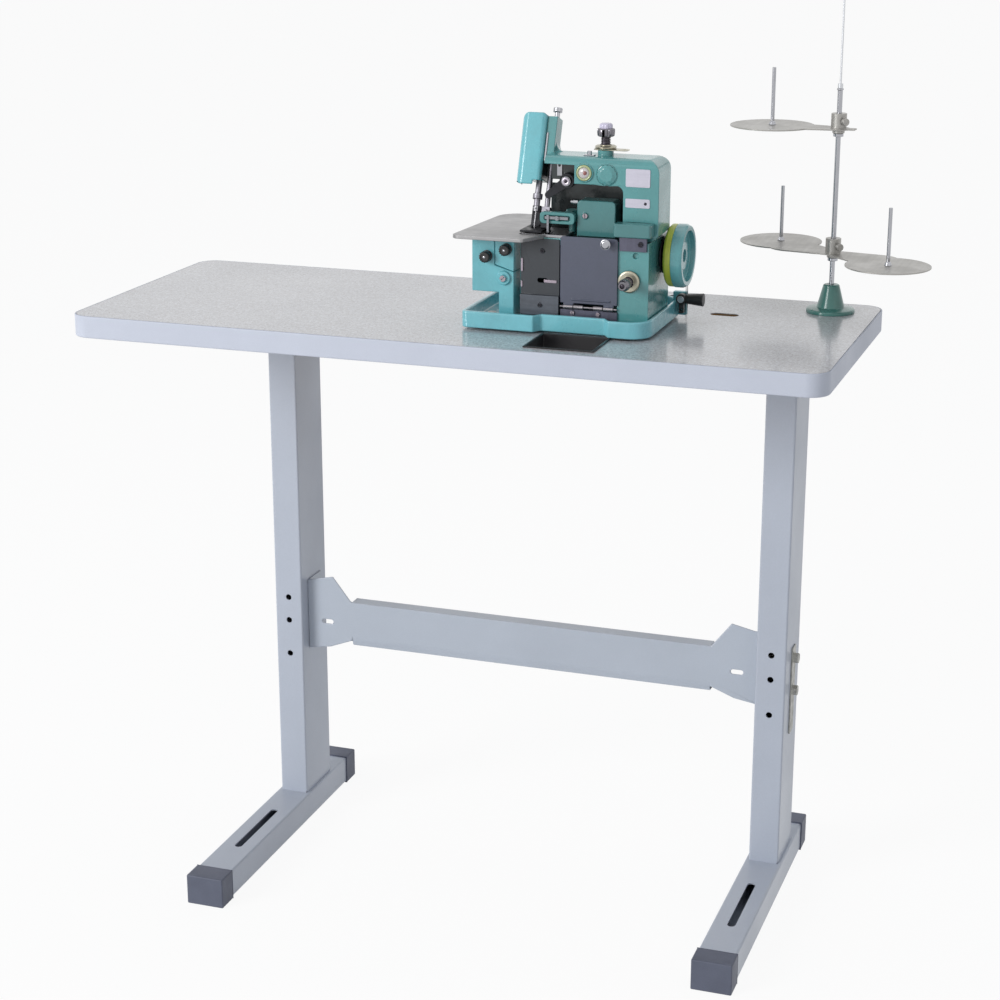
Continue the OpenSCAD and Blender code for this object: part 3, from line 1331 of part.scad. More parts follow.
// Skirt of the given radius under a narrower crown, bored for the post.
module tension_knob(r) {
    z0 = 5 + spring_l;
    difference() {
        union() {
            translate([0, 0, z0]) cylinder(h = knob_l / 2, r1 = r - 1, r2 = r);
            translate([0, 0, z0 + knob_l / 2 - eps]) cylinder(h = 1.5, r1 = r, r2 = r - 2);
            translate([0, 0, z0 + knob_l / 2]) cylinder(h = knob_l / 2 - 2, r = r - 2.6);
            translate([0, 0, z0 + knob_l - 2 - eps]) cylinder(h = 2, r1 = r - 2.6, r2 = r - 4);
        }
        cylinder(h = z0 + knob_l - 1.5, r = post_bore);
    }
}

module at_top_tension() {
    at_head() translate([top_tension_x, (arm_y0 + arm_y1) / 2, arm_z1 + 6]) children();
}

module at_front_tension() {
    at_head() translate([front_tension_x, house_y0, front_tension_z]) rotate([90, 0, 0]) children();
}

module tension_discs() color(brass) {
    at_top_tension() {
        // thread guide plate under the discs
        difference() {
            linear_extrude(1) polygon(round_rect(-13, 27, -7, 7, [5, 5, 5, 5]));
            for (x = [-9, 22]) translate([x, 0, -1]) cylinder(h = 3, r = 1.5);
        }
        translate([0, 0, 1]) tension(12);
    }
    at_front_tension() tension(9);
}

// Small polished guides that lead the threads from the tensions to the needle and loopers.
module thread_guides() color(steel) {
    at_head() {
        // bracket and screw left of the top tension
        box([top_tension_x - 22, arm_y0 + 12, arm_z1], [top_tension_x - 10, arm_y0 + 20, arm_z1 + 1.2]);
        translate([top_tension_x - 16, arm_y0 + 16, arm_z1 + 1.2 - eps]) screw_head(2.6, 4);
        // eye plate at the arm's left end
        difference() {
            box([arm_x0 + 7, pocket_y1 - 1.6, arm_z1 - 26], [arm_x0 + 13, pocket_y1, arm_z1 - 10]);
            rod_y(arm_x0 + 10, pocket_y1 - 3, pocket_y1 + 1, arm_z1 - 14, 1.4);
        }
        // knob and lug on the block cover's left side
        rod_x(pocket_x1 - 4, pocket_x1 + 2, arm_y0 + 12, house_z1 + block_h - 3, 3);
        rod_x(pocket_x1 - 7, pocket_x1 - 4 + eps, arm_y0 + 12, house_z1 + block_h - 3, 2);
    }
    // strip beside the face cover
    at_needle() box([6.6, -13.2, 78], [8.6, -12, 110]);
}

module tension_knob_top() color([0.80, 0.78, 0.86]) at_top_tension()
    translate([0, 0, 1]) tension_knob(knob_r);

module tension_knob_front() color([0.62, 0.60, 0.66]) at_front_tension() tension_knob(front_knob_r);

// ---- head: presser lift lever ----

lift_pivot = [base_x1 + 7, 121, 26];
lift_pin_r = 2.5;
lift_lever_t = 9;

// Bell crank with a rubber grip: pressing the grip down lifts the presser foot.
module lift_lever() color(black) at_head() translate(lift_pivot) difference() {
    union() {
        rod_y(0, 0, lift_lever_t, 0, 6);
        box([0, 1, -3], [8, lift_lever_t - 1, 3]);
        translate([6, lift_lever_t / 2, 0]) rotate([0, 90, 0]) cylinder(h = 20, r1 = 5.6, r2 = 7.6);
        box([-3, 1, -17], [3, lift_lever_t - 1, 0]);
    }
    rod_y(0, -1, lift_lever_t + 1, 0, lift_pin_r + run_gap);
    rod_y(0, -1, lift_lever_t + 1, -13, 1.6);
}

// ---- output ----

board_core();
board_laminate();
edge_band();
left_column();
right_column();
left_foot();
right_foot();
foot_end_caps();
board_channels();
stretcher();
stand_fasteners();
waste_chute();
base_pads();
head_studs();
stand_cone();
stand_rod();
lower_spool_plate();
upper_spool_plate();
lower_spool_pins();
upper_spool_pin();
thread_guide_wire();
base_tray();
main_frame();
face_cover();
rear_cover();
block_covers();
nameplates();
oil_sight();
front_cover();
cover_latch_knob();
cover_strips();
left_front_plate();
cloth_plate();
plate_carrier();
carrier_knob();
plate_bracket();
bracket_knob();
throat_plate();
feed_dog();
needle_bar();
needle();
needle_lever();
presser_bar();
presser_foot();
presser_screw();
knife_arm();
upper_knife();
lower_knife();
upper_looper();
lower_looper();
pivot_shafts();
shaft_bushes();
main_shaft();
handwheel();
belt_ring();
tension_discs();
tension_knob_top();
tension_knob_front();
thread_guides();
lift_lever();
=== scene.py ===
import json
import math
import bmesh
import bpy
from mathutils import Matrix, Vector


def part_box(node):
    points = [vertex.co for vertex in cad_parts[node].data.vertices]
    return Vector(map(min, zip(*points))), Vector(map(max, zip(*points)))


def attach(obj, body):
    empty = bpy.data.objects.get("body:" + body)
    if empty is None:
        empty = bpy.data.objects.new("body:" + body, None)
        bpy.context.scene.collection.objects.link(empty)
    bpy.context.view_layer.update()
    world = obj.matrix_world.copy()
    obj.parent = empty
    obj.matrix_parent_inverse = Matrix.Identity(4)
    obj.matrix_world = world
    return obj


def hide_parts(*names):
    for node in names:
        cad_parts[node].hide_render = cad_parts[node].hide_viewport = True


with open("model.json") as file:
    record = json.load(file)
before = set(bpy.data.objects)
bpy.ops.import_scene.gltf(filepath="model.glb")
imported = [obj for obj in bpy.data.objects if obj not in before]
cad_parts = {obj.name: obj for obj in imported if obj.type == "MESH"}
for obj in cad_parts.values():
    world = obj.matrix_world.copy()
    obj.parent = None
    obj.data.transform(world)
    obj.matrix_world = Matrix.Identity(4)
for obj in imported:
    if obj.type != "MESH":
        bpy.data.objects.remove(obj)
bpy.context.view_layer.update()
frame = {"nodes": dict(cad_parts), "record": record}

body_of = {node: body for body, nodes in frame["record"]["behaviour"]["bodies"].items() for node in nodes}


# ---- Room ----
# A plain pale floor in a white room, lit by a wide soft lamp at the front left and a weaker one at the
# right. The floor keeps the machine's shadow. The camera stands at the right front, above the board.

def srgb(red, green, blue):
    """A colour written as on a colour card, 0 to 255, turned into the renderer's linear values."""
    shares = [part / 255 for part in (red, green, blue)]
    return tuple(c / 12.92 if c < 0.04045 else ((c + 0.055) / 1.055) ** 2.4 for c in shares) + (1.0,)


def node_in(tree, kind, **values):
    """Adds a node and sets its properties and, by name, its plain input values."""
    made = tree.nodes.new(kind)
    for name, value in values.items():
        if hasattr(made, name):
            setattr(made, name, value)
        else:
            made.inputs[name.replace("_", " ")].default_value = value
    return made


def seen_ray(tree):
    """1 for a ray that shows the room directly, in a mirror finish or through glass."""
    path = tree.nodes.new("ShaderNodeLightPath")
    first = node_in(tree, "ShaderNodeMath", operation="MAXIMUM")
    both = node_in(tree, "ShaderNodeMath", operation="MAXIMUM")
    tree.links.new(path.outputs["Is Camera Ray"], first.inputs[0])
    tree.links.new(path.outputs["Is Glossy Ray"], first.inputs[1])
    tree.links.new(first.outputs[0], both.inputs[0])
    tree.links.new(path.outputs["Is Transmission Ray"], both.inputs[1])
    return both.outputs[0]


room = bpy.data.worlds.new("room")
bpy.context.scene.world = room
room.use_nodes = True
room.node_tree.nodes.clear()
room_light = node_in(room.node_tree, "ShaderNodeBackground", Color=(0.93, 0.96, 1.0, 1.0), Strength=0.50)
room_white = node_in(room.node_tree, "ShaderNodeBackground", Color=(1.0, 1.0, 1.0, 1.0), Strength=1.0)
room_mix = room.node_tree.nodes.new("ShaderNodeMixShader")
room_out = room.node_tree.nodes.new("ShaderNodeOutputWorld")
room.node_tree.links.new(seen_ray(room.node_tree), room_mix.inputs[0])
room.node_tree.links.new(room_light.outputs[0], room_mix.inputs[1])
room.node_tree.links.new(room_white.outputs[0], room_mix.inputs[2])
room.node_tree.links.new(room_mix.outputs[0], room_out.inputs[0])

floor_paint = bpy.data.materials.new("floor_paint")
floor_paint.use_nodes = True
floor_tree = floor_paint.node_tree
floor_tree.nodes.clear()
floor_matte = node_in(floor_tree, "ShaderNodeBsdfDiffuse", Color=(0.90, 0.90, 0.90, 1.0))
floor_white = node_in(floor_tree, "ShaderNodeEmission", Color=(1.0, 1.0, 1.0, 1.0), Strength=1.0)
floor_share = node_in(floor_tree, "ShaderNodeMath", operation="MULTIPLY")
floor_share.inputs[1].default_value = 0.92
floor_mix = floor_tree.nodes.new("ShaderNodeMixShader")
floor_out = floor_tree.nodes.new("ShaderNodeOutputMaterial")
floor_tree.links.new(seen_ray(floor_tree), floor_share.inputs[0])
floor_tree.links.new(floor_share.outputs[0], floor_mix.inputs[0])
floor_tree.links.new(floor_matte.outputs[0], floor_mix.inputs[1])
floor_tree.links.new(floor_white.outputs[0], floor_mix.inputs[2])
floor_tree.links.new(floor_mix.outputs[0], floor_out.inputs[0])
floor_mesh = bpy.data.meshes.new("floor")
floor_mesh.from_pydata([(-60, -60, 0), (60, -60, 0), (60, 60, 0), (-60, 60, 0)], [], [(0, 1, 2, 3)])
floor_mesh.materials.append(floor_paint)
floor = bpy.data.objects.new("floor", floor_mesh)
bpy.context.collection.objects.link(floor)

for lamp_name, lamp_place, lamp_aim, lamp_size, lamp_power in (
        ("key_lamp", (-3.0, -3.9, 2.2), (0.0, 0.0, 0.6), 2.4, 160.0),
        ("fill_lamp", (3.2, -2.2, 2.0), (0.1, 0.0, 0.6), 2.0, 3.0),
        ("top_lamp", (0.4, 0.6, 3.4), (0.1, 0.0, 0.7), 2.4, 8.0)):
    lamp_data = bpy.data.lights.new(lamp_name, "AREA")
    lamp_data.shape = "DISK"
    lamp_data.size = lamp_size
    lamp_data.energy = lamp_power
    lamp = bpy.data.objects.new(lamp_name, lamp_data)
    lamp.location = lamp_place
    lamp.rotation_euler = (Vector(lamp_aim) - Vector(lamp_place)).to_track_quat("-Z", "Y").to_euler()
    bpy.context.collection.objects.link(lamp)

camera_data = bpy.data.cameras.new("camera")
camera_data.sensor_width = 36
camera_data.lens = 78.23
camera = bpy.data.objects.new("camera", camera_data)
camera.location = (0.8147, -2.4036, 1.2915)
camera.rotation_euler = (math.radians(90 - 17.263), 0, math.radians(19.081))
bpy.context.collection.objects.link(camera)
bpy.context.scene.camera = camera
bpy.context.scene.view_settings.view_transform = "Standard"


# ---- Table board ----
# Plywood faced with a speckled warm-grey laminate sheet, and a plain blue-grey band glued round its
# edge. The sheet is pressed with a fine gloss, so it mirrors the machine faintly.

def effect(name, inputs, outputs):
    """A shader node group with named number inputs and outputs, and the object's own coordinates."""
    tree = bpy.data.node_groups.new(name, "ShaderNodeTree")
    for socket, value in inputs:
        tree.interface.new_socket(socket, in_out="INPUT", socket_type="NodeSocketFloat").default_value = value
    for socket in outputs:
        tree.interface.new_socket(socket, in_out="OUTPUT", socket_type="NodeSocketFloat")
    place = tree.nodes.new("ShaderNodeTexCoord").outputs["Object"]
    return tree, tree.nodes.new("NodeGroupInput"), tree.nodes.new("NodeGroupOutput"), place


def between(tree, value, low, high, to_low, to_high):
    """Maps a value from one range to another, held at its ends. Ranges may be sockets."""
    made = node_in(tree, "ShaderNodeMapRange", clamp=True)
    tree.links.new(value, made.inputs["Value"])
    for name, number in (("From Min", low), ("From Max", high), ("To Min", to_low), ("To Max", to_high)):
        if isinstance(number, (int, float)):
            made.inputs[name].default_value = number
        else:
            tree.links.new(number, made.inputs[name])
    return made.outputs["Result"]


# Broad handling marks: Shade is 1 where the surface is clean and falls by Depth in the marks.
marks, given, result, place = effect(
    "handling_marks", (("Scale", 12.0), ("Depth", 0.1), ("Dulling", 0.1)), ("Shade", "Dull"))
cloud = node_in(marks, "ShaderNodeTexNoise", Detail=5.0, Roughness=0.62)
marks.links.new(place, cloud.inputs["Vector"])
marks.links.new(given.outputs["Scale"], cloud.inputs["Scale"])
lowest = node_in(marks, "ShaderNodeMath", operation="SUBTRACT")
lowest.inputs[0].default_value = 1.0
marks.links.new(given.outputs["Depth"], lowest.inputs[1])
marks.links.new(between(marks, cloud.outputs[0], 0.33, 0.62, lowest.outputs[0], 1.0), result.inputs["Shade"])
marks.links.new(between(marks, cloud.outputs[0], 0.38, 0.66, given.outputs["Dulling"], 0.0),
                result.inputs["Dull"])

# Grain drawn out along the axes with a small stretch value: Height is for bump, Shade darkens.
grain, given, result, place = effect(
    "drawn_grain", (("Scale", 400.0), ("X", 1.0), ("Y", 1.0), ("Z", 1.0), ("Depth", 0.1)),
    ("Height", "Shade"))
pull = grain.nodes.new("ShaderNodeCombineXYZ")
for axis in "XYZ":
    grain.links.new(given.outputs[axis], pull.inputs[axis])
drawn = node_in(grain, "ShaderNodeVectorMath", operation="MULTIPLY")
grain.links.new(place, drawn.inputs[0])
grain.links.new(pull.outputs[0], drawn.inputs[1])
fibre = node_in(grain, "ShaderNodeTexNoise", Detail=3.0, Roughness=0.55)
grain.links.new(drawn.outputs[0], fibre.inputs["Vector"])
grain.links.new(given.outputs["Scale"], fibre.inputs["Scale"])
grain.links.new(fibre.outputs[0], result.inputs["Height"])
lowest = node_in(grain, "ShaderNodeMath", operation="SUBTRACT")
lowest.inputs[0].default_value = 1.0
grain.links.new(given.outputs["Depth"], lowest.inputs[1])
grain.links.new(between(grain, fibre.outputs[0], 0.35, 0.65, lowest.outputs[0], 1.0), result.inputs["Shade"])

# Fine printed flecks: Dark and Light are separate masks of small cells.
flecks, given, result, place = effect("printed_flecks", (("Scale", 600.0), ("Share", 0.2)), ("Dark", "Light"))
cells = node_in(flecks, "ShaderNodeTexVoronoi", Randomness=1.0)
flecks.links.new(place, cells.inputs["Vector"])
flecks.links.new(given.outputs["Scale"], cells.inputs["Scale"])
parts = flecks.nodes.new("ShaderNodeSeparateColor")
flecks.links.new(cells.outputs["Color"], parts.inputs[0])
for mask, part in (("Dark", "Red"), ("Light", "Green")):
    chosen = node_in(flecks, "ShaderNodeMath", operation="LESS_THAN")
    flecks.links.new(parts.outputs[part], chosen.inputs[0])
    flecks.links.new(given.outputs["Share"], chosen.inputs[1])
    flecks.links.new(chosen.outputs[0], result.inputs[mask])


def use(tree, group, **values):
    """Places an effect in a material with that material's own values."""
    made = tree.nodes.new("ShaderNodeGroup")
    made.node_tree = group
    for name, value in values.items():
        made.inputs[name].default_value = value
    return made


def shaded(tree, colour, factor):
    """A colour, or a colour socket, that turns towards black where the factor falls."""
    mix = node_in(tree, "ShaderNodeMix", data_type="RGBA")
    mix.inputs["A"].default_value = (0.0, 0.0, 0.0, 1.0)
    tree.links.new(factor, mix.inputs["Factor"])
    if isinstance(colour, tuple):
        mix.inputs["B"].default_value = colour
    else:
        tree.links.new(colour, mix.inputs["B"])
    return mix.outputs["Result"]


def coating(name, colour, rough, mark, fine, bump, metal=0.0, coat=0.0, deep=0.00015):
    """A finish. Mark is its broad marks' scale, depth and dulling, and fine its grain's scale, stretch and
    depth. Bump is the share of the grain's relief and deep the relief's height in metres."""
    made = bpy.data.materials.new(name)
    made.use_nodes = True
    tree = made.node_tree
    shader = tree.nodes["Principled BSDF"]
    shader.inputs["Metallic"].default_value = metal
    shader.inputs["Coat Weight"].default_value = coat
    shader.inputs["Coat Roughness"].default_value = 0.08
    broad = use(tree, marks, Scale=mark[0], Depth=mark[1], Dulling=mark[2])
    line = use(tree, grain, Scale=fine[0], X=fine[1][0], Y=fine[1][1], Z=fine[1][2], Depth=fine[2])
    once = shaded(tree, colour, broad.outputs["Shade"])
    tree.links.new(shaded(tree, once, line.outputs["Shade"]), shader.inputs["Base Color"])
    gloss = node_in(tree, "ShaderNodeMath", operation="ADD")
    gloss.inputs[0].default_value = rough
    tree.links.new(broad.outputs["Dull"], gloss.inputs[1])
    tree.links.new(gloss.outputs[0], shader.inputs["Roughness"])
    relief = node_in(tree, "ShaderNodeBump", Strength=bump, Distance=deep)
    tree.links.new(line.outputs["Height"], relief.inputs["Height"])
    tree.links.new(relief.outputs[0], shader.inputs["Normal"])
    return made


def dress(node, material):
    """Gives a CAD piece its finish in place of the plain one."""
    data = frame["nodes"][node].data
    data.materials.clear()
    data.materials.append(material)


def keep(name, data, body, node=None, smooth=35):
    """Links a finished mesh as a piece that rides on a body, and stands for a CAD piece if one is named.
    Edges sharper than smooth degrees stay sharp."""
    made = bpy.data.objects.new(name, data)
    bpy.context.collection.objects.link(made)
    data.shade_smooth()
    data.set_sharp_from_angle(angle=math.radians(smooth))
    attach(made, body)
    if node:
        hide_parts(node)
    return made


slot_of = {part["node"]: part["material_slot"] for part in frame["record"]["subparts"]}
screw_slot = slot_of["stand_fasteners"]


def rounded(node, width, material, segments=2, only=None, parted=()):
    """A copy of a CAD piece whose edges are broken as casting, pressing or filing leaves them. Only, if
    given, says which edges. Faces that run round like a ring are parted by planes, each given as an axis
    and a share of the box."""
    data = frame["nodes"][node].data.copy()
    if "custom_normal" in data.attributes:
        data.attributes.remove(data.attributes["custom_normal"])
    mesh = bmesh.new()
    mesh.from_mesh(data)
    bmesh.ops.remove_doubles(mesh, verts=mesh.verts, dist=0.000004)
    seams = set()
    low, high = (Vector(corner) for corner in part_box(node))
    for axis, share in parted:
        across = Vector([float(i == axis) for i in range(3)])
        cut = bmesh.ops.bisect_plane(mesh, geom=mesh.verts[:] + mesh.edges[:] + mesh.faces[:],
                                     plane_co=low.lerp(high, share), plane_no=across)
        seams.update(part for part in cut["geom_cut"] if isinstance(part, bmesh.types.BMEdge))
    bmesh.ops.dissolve_limit(mesh, angle_limit=math.radians(0.4), verts=mesh.verts,
                             edges=[edge for edge in mesh.edges if edge not in seams])
    weight = mesh.edges.layers.float.new("bevel_weight_edge")
    flattest_edge = math.radians(32)
    for edge in mesh.edges:
        if len(edge.link_faces) == 2 and edge.calc_face_angle(0) > flattest_edge:
            if only is None or only(edge):
                edge[weight] = 1.0
    mesh.to_mesh(data)
    mesh.free()
    data.materials.clear()
    data.materials.append(material)
    made = keep(node + "_finish", data, body_of[node], node)
    broken = made.modifiers.new("broken_edges", "BEVEL")
    broken.width = width
    broken.segments = segments
    broken.limit_method = "WEIGHT"
    broken.use_clamp_overlap = only is not None
    flat = made.modifiers.new("flat_faces", "WEIGHTED_NORMAL")
    flat.keep_sharp = True
    whole = made.modifiers.new("whole_faces", "TRIANGULATE")
    whole.min_vertices = 5
    whole.keep_custom_normals = True
    return made


def also(made, material, chosen):
    """A second finish on the faces chosen by their middle and the way they face."""
    made.data.materials.append(material)
    for face in made.data.polygons:
        if chosen(face.center, face.normal):
            face.material_index = len(made.data.materials) - 1


laminate = bpy.data.materials.new("speckled_laminate")
laminate.use_nodes = True
tree = laminate.node_tree
shader = tree.nodes["Principled BSDF"]
shader.inputs["Coat Weight"].default_value = 0.35
shader.inputs["Coat Roughness"].default_value = 0.10
speck = use(tree, flecks, Scale=520.0, Share=0.30)
small = use(tree, flecks, Scale=900.0, Share=0.22)
worn = use(tree, marks, Scale=5.0, Depth=0.05, Dulling=0.10)
ground = srgb(180, 180, 185)
for mask, tint in ((speck.outputs["Dark"], srgb(166, 164, 167)),
                   (small.outputs["Dark"], srgb(174, 170, 170)),
                   (speck.outputs["Light"], srgb(199, 200, 205)),
                   (small.outputs["Light"], srgb(191, 191, 195))):
    print_mix = node_in(tree, "ShaderNodeMix", data_type="RGBA")
    tree.links.new(mask, print_mix.inputs["Factor"])
    print_mix.inputs["B"].default_value = tint
    if isinstance(ground, tuple):
        print_mix.inputs["A"].default_value = ground
    else:
        tree.links.new(ground, print_mix.inputs["A"])
    ground = print_mix.outputs["Result"]
tree.links.new(shaded(tree, ground, worn.outputs["Shade"]), shader.inputs["Base Color"])
gloss = node_in(tree, "ShaderNodeMath", operation="ADD")
gloss.inputs[0].default_value = 0.16
tree.links.new(worn.outputs["Dull"], gloss.inputs[1])
tree.links.new(gloss.outputs[0], shader.inputs["Roughness"])
dress("board_laminate", laminate)

plywood = coating("plywood", srgb(176, 134, 84), 0.6, mark=(8.0, 0.2, 0.1),
                  fine=(90.0, (0.3, 1.0, 9.0), 0.35), bump=0.2)
dress("board_core", plywood)
band_plastic = coating("band_plastic", srgb(192, 197, 210), 0.42, mark=(9.0, 0.05, 0.08),
                       fine=(700.0, (1, 1, 1), 0.03), bump=0.05)
rounded("edge_band", 0.0012, band_plastic, segments=3, parted=((0, 0.5), (1, 0.5)))


# ---- Columns, feet and board channels ----
# Rectangular steel tubes welded into two T shapes and sprayed a pale blue-grey. A pressed channel on
# each column carries the board with four wood screws.

stand_paint = coating("stand_paint", srgb(180, 187, 200), 0.36, coat=0.2, mark=(5.0, 0.06, 0.12),
                      fine=(420.0, (1, 1, 1), 0.03), bump=0.10)


def long_edge(edge, shortest=0.2):
    """The long outer corners of a drawn tube, which its rolls leave round."""
    low, high = (Vector([pick(v.co[i] for v in edge.verts) for i in range(3)]) for pick in (min, max))
    return (high - low).length > shortest


for node in ("left_column", "right_column", "left_foot", "right_foot"):
    rounded(node, 0.0022, stand_paint, segments=3, only=long_edge)
rounded("board_channels", 0.0006, stand_paint)


# ---- Foot caps ----
# Moulded plastic cups pushed over the ends of the feet, dark blue-grey with a fine matt grain.

cap_plastic = coating("cap_plastic", srgb(92, 97, 114), 0.48, mark=(30.0, 0.12, 0.10),
                      fine=(900.0, (1, 1, 1), 0.10), bump=0.35)
rounded("foot_end_caps", 0.0016, cap_plastic, segments=3)


# ---- Stretcher and its bolts ----
# A pressed steel sheet between the columns, flared at its ends and painted like them. Zinc-plated
# bolts pass through both end plates and the backing plates outside the columns.

sheet_paint = coating("sheet_paint", srgb(178, 186, 198), 0.34, coat=0.2, mark=(7.0, 0.06, 0.14),
                      fine=(500.0, (1, 1, 1), 0.03), bump=0.06)
rounded("stretcher", 0.0011, sheet_paint, segments=3)
zinc = coating("zinc", srgb(176, 176, 172), 0.34, metal=1.0, mark=(120.0, 0.35, 0.20),
               fine=(900.0, (1, 1, 1), 0.10), bump=0.15)
rounded("stand_fasteners", 0.0004, zinc)


# ---- Waste chute and pads ----
# A black sheet-metal sleeve let into the board in front of the head, where the trimmed edge falls. The
# head stands on rubber pads, held by studs through the board.

chute_paint = coating("chute_paint", srgb(22, 20, 24), 0.34, mark=(25.0, 0.35, 0.25),
                      fine=(700.0, (1, 1, 1), 0.2), bump=0.2)
rounded("waste_chute", 0.0006, chute_paint)
pad_rubber = coating("pad_rubber", srgb(34, 34, 36), 0.75, mark=(60.0, 0.25, 0.1),
                     fine=(900.0, (1, 1, 1), 0.2), bump=0.4)
rounded("base_pads", 0.0005, pad_rubber)
rounded("head_studs", 0.0004, zinc)


# ---- Thread stand ----
# A chromed rod in a green plastic cone, two swivelling steel spool plates with chromed pins and
# collars, and a bent wire above them that led the threads to the head.

cone_plastic = coating("cone_plastic", srgb(70, 128, 120), 0.26, coat=0.4, mark=(40.0, 0.2, 0.10),
                       fine=(800.0, (1, 1, 1), 0.06), bump=0.08)
rounded("stand_cone", 0.0005, cone_plastic)
chrome = coating("chrome", srgb(176, 177, 182), 0.16, metal=1.0, mark=(70.0, 0.10, 0.06),
                 fine=(300.0, (1, 1, 0.1), 0.03), bump=0.01)
for node in ("stand_rod", "lower_spool_pins", "upper_spool_pin"):
    rounded(node, 0.0004, chrome)
plate_sheet = coating("plate_sheet", srgb(172, 170, 166), 0.32, metal=0.75, mark=(30.0, 0.12, 0.12),
                      fine=(260.0, (1.0, 0.05, 1.0), 0.10), bump=0.06)
for node in ("lower_spool_plate", "upper_spool_plate"):
    rounded(node, 0.0003, plate_sheet)
guide_steel = coating("guide_steel", srgb(214, 216, 220), 0.22, metal=0.9, mark=(90.0, 0.1, 0.1),
                      fine=(1200.0, (1, 1, 1), 0.05), bump=0.03)
dress("thread_guide_wire", guide_steel)


# ---- Castings of the head ----
# The base tray, the frame with its arm, and the covers are iron and aluminium castings with broken
# edges, filled, rubbed down and sprayed with a thick teal gloss enamel.

def enamel(name, colour, rough=0.20):
    """Thick sprayed gloss over a casting: a slow orange-peel surface, and oily marks that dull it."""
    return coating(name, colour, rough, coat=0.55, mark=(26.0, 0.13, 0.12), fine=(210.0, (1, 1, 1), 0.035),
                   bump=0.10, deep=0.0006)


teal_enamel = enamel("teal_enamel", srgb(84, 150, 151))
light_enamel = enamel("light_enamel", srgb(106, 184, 194))
# The tray wears the same teal enamel as the frame; this lighter copy paints the light that falls on its front.
tray_lit_enamel = enamel("tray_lit_enamel", srgb(122, 196, 207))
rounded("base_tray", 0.0014, tray_lit_enamel, segments=3, parted=((0, 0.3), (0, 0.55), (0, 0.8), (1, 0.5)))
frame_casting = rounded("main_frame", 0.0007, teal_enamel)
# A dark finish laid on the faces inside the throat is painted shade: the enamel there is the same teal.
throat_shade_paint = coating("throat_shade_paint", srgb(30, 42, 44), 0.26, coat=0.4, mark=(70.0, 0.45, 0.20),
                        fine=(240.0, (1, 1, 1), 0.12), bump=0.3)
bed_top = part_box("throat_plate")[0][2]
arm_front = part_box("nameplates")[1][1]
casting_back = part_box("main_frame")[1][1]
throat_left, throat_right, throat_high = 0.0565, 0.168, 0.075


def in_throat(spot, way):
    """The casting's inner faces between the head and the column, under the arm, where a dark finish paints the
    shade that falls there.
    """
    return (way.y < 0.5 and throat_left < spot.x < throat_right
            and arm_front + 0.0006 < spot.y < casting_back - 0.003
            and bed_top - 0.0005 < spot.z < bed_top + throat_high)


also(frame_casting, throat_shade_paint, in_throat)
rounded("face_cover", 0.0014, light_enamel, segments=3)
back_cover = rounded("rear_cover", 0.0010, teal_enamel)
# The rear cover's front faces above the bed, seen through the throat, take the same painted shade.
also(back_cover, throat_shade_paint, lambda spot, way: way.y < -0.5 and spot.z > bed_top - 0.003)
# The block covers carry the frame's teal enamel; this darker copy paints the shade that lies on them.
rounded("block_covers", 0.0012, enamel("block_shaded_enamel", srgb(68, 126, 127), 0.24))
fixed_bracket = rounded("plate_bracket", 0.0009, light_enamel)
pin_steel = coating("pin_steel", srgb(150, 150, 154), 0.30, metal=0.95, mark=(120.0, 0.3, 0.15),
                    fine=(700.0, (1, 1, 1), 0.1), bump=0.05)
also(fixed_bracket, pin_steel, lambda spot, way: spot.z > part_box("cloth_plate")[0][2] - 0.0015)


# ---- Front covers ----
# The hinged front cover and the plate at its left are pressed and sprayed dark blue-grey. The hinge
# strip and the latch bar are bronzed steel, screwed to the frame.

cover_paint = coating("cover_paint", srgb(75, 80, 98), 0.30, coat=0.35, mark=(34.0, 0.12, 0.16),
                      fine=(420.0, (1, 1, 1), 0.06), bump=0.15)
hinged_cover = rounded("front_cover", 0.0007, cover_paint)
plate_paint = coating("plate_paint", srgb(43, 48, 55), 0.34, coat=0.25, mark=(34.0, 0.14, 0.16),
                      fine=(420.0, (1, 1, 1), 0.06), bump=0.15)
left_plate = rounded("left_front_plate", 0.0006, plate_paint)
worn_paint = coating("worn_plate_paint", srgb(86, 92, 102), 0.32, coat=0.2, mark=(60.0, 0.3, 0.2),
                     fine=(120.0, (0.25, 1, 4.0), 0.22), bump=0.2)
lower_leaf, leaf_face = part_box("left_front_plate")[0][2] + 0.026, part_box("left_front_plate")[1][1] - 0.0022
also(left_plate, worn_paint, lambda spot, way: spot.z < lower_leaf and spot.y < leaf_face)
strip_steel = coating("strip_steel", srgb(94, 94, 110), 0.34, metal=0.55, mark=(60.0, 0.25, 0.2),
                      fine=(300.0, (1, 1, 0.1), 0.15), bump=0.1)
strips = rounded("cover_strips", 0.0004, strip_steel)
strip_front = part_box("left_front_plate")[1][1] - 0.0027
# The hinge barrels get a lighter steel than the strip and the cover they belong to, a painted highlight.
hinge_highlight_steel = coating("hinge_highlight_steel", srgb(150, 146, 150), 0.26, metal=0.9, mark=(120.0, 0.3, 0.2),
                      fine=(500.0, (0.1, 1, 1), 0.12), bump=0.06)
hinge_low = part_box("front_cover")[0][2]
hinge_high = hinge_low + 0.0050
also(strips, hinge_highlight_steel, lambda spot, way: hinge_low - 0.0005 < spot.z < hinge_high and spot.y < strip_front)
also(hinged_cover, hinge_highlight_steel, lambda spot, way: spot.z < hinge_high - 0.0004)
rounded("cover_latch_knob", 0.0004, chrome)


# ---- Cloth plate and its bracket ----
# A ground steel plate that swings out on a pin, its edges polished by cloth. A cast bracket and a
# carrier hold it, clamped with two fluted black plastic knobs on dark washers.

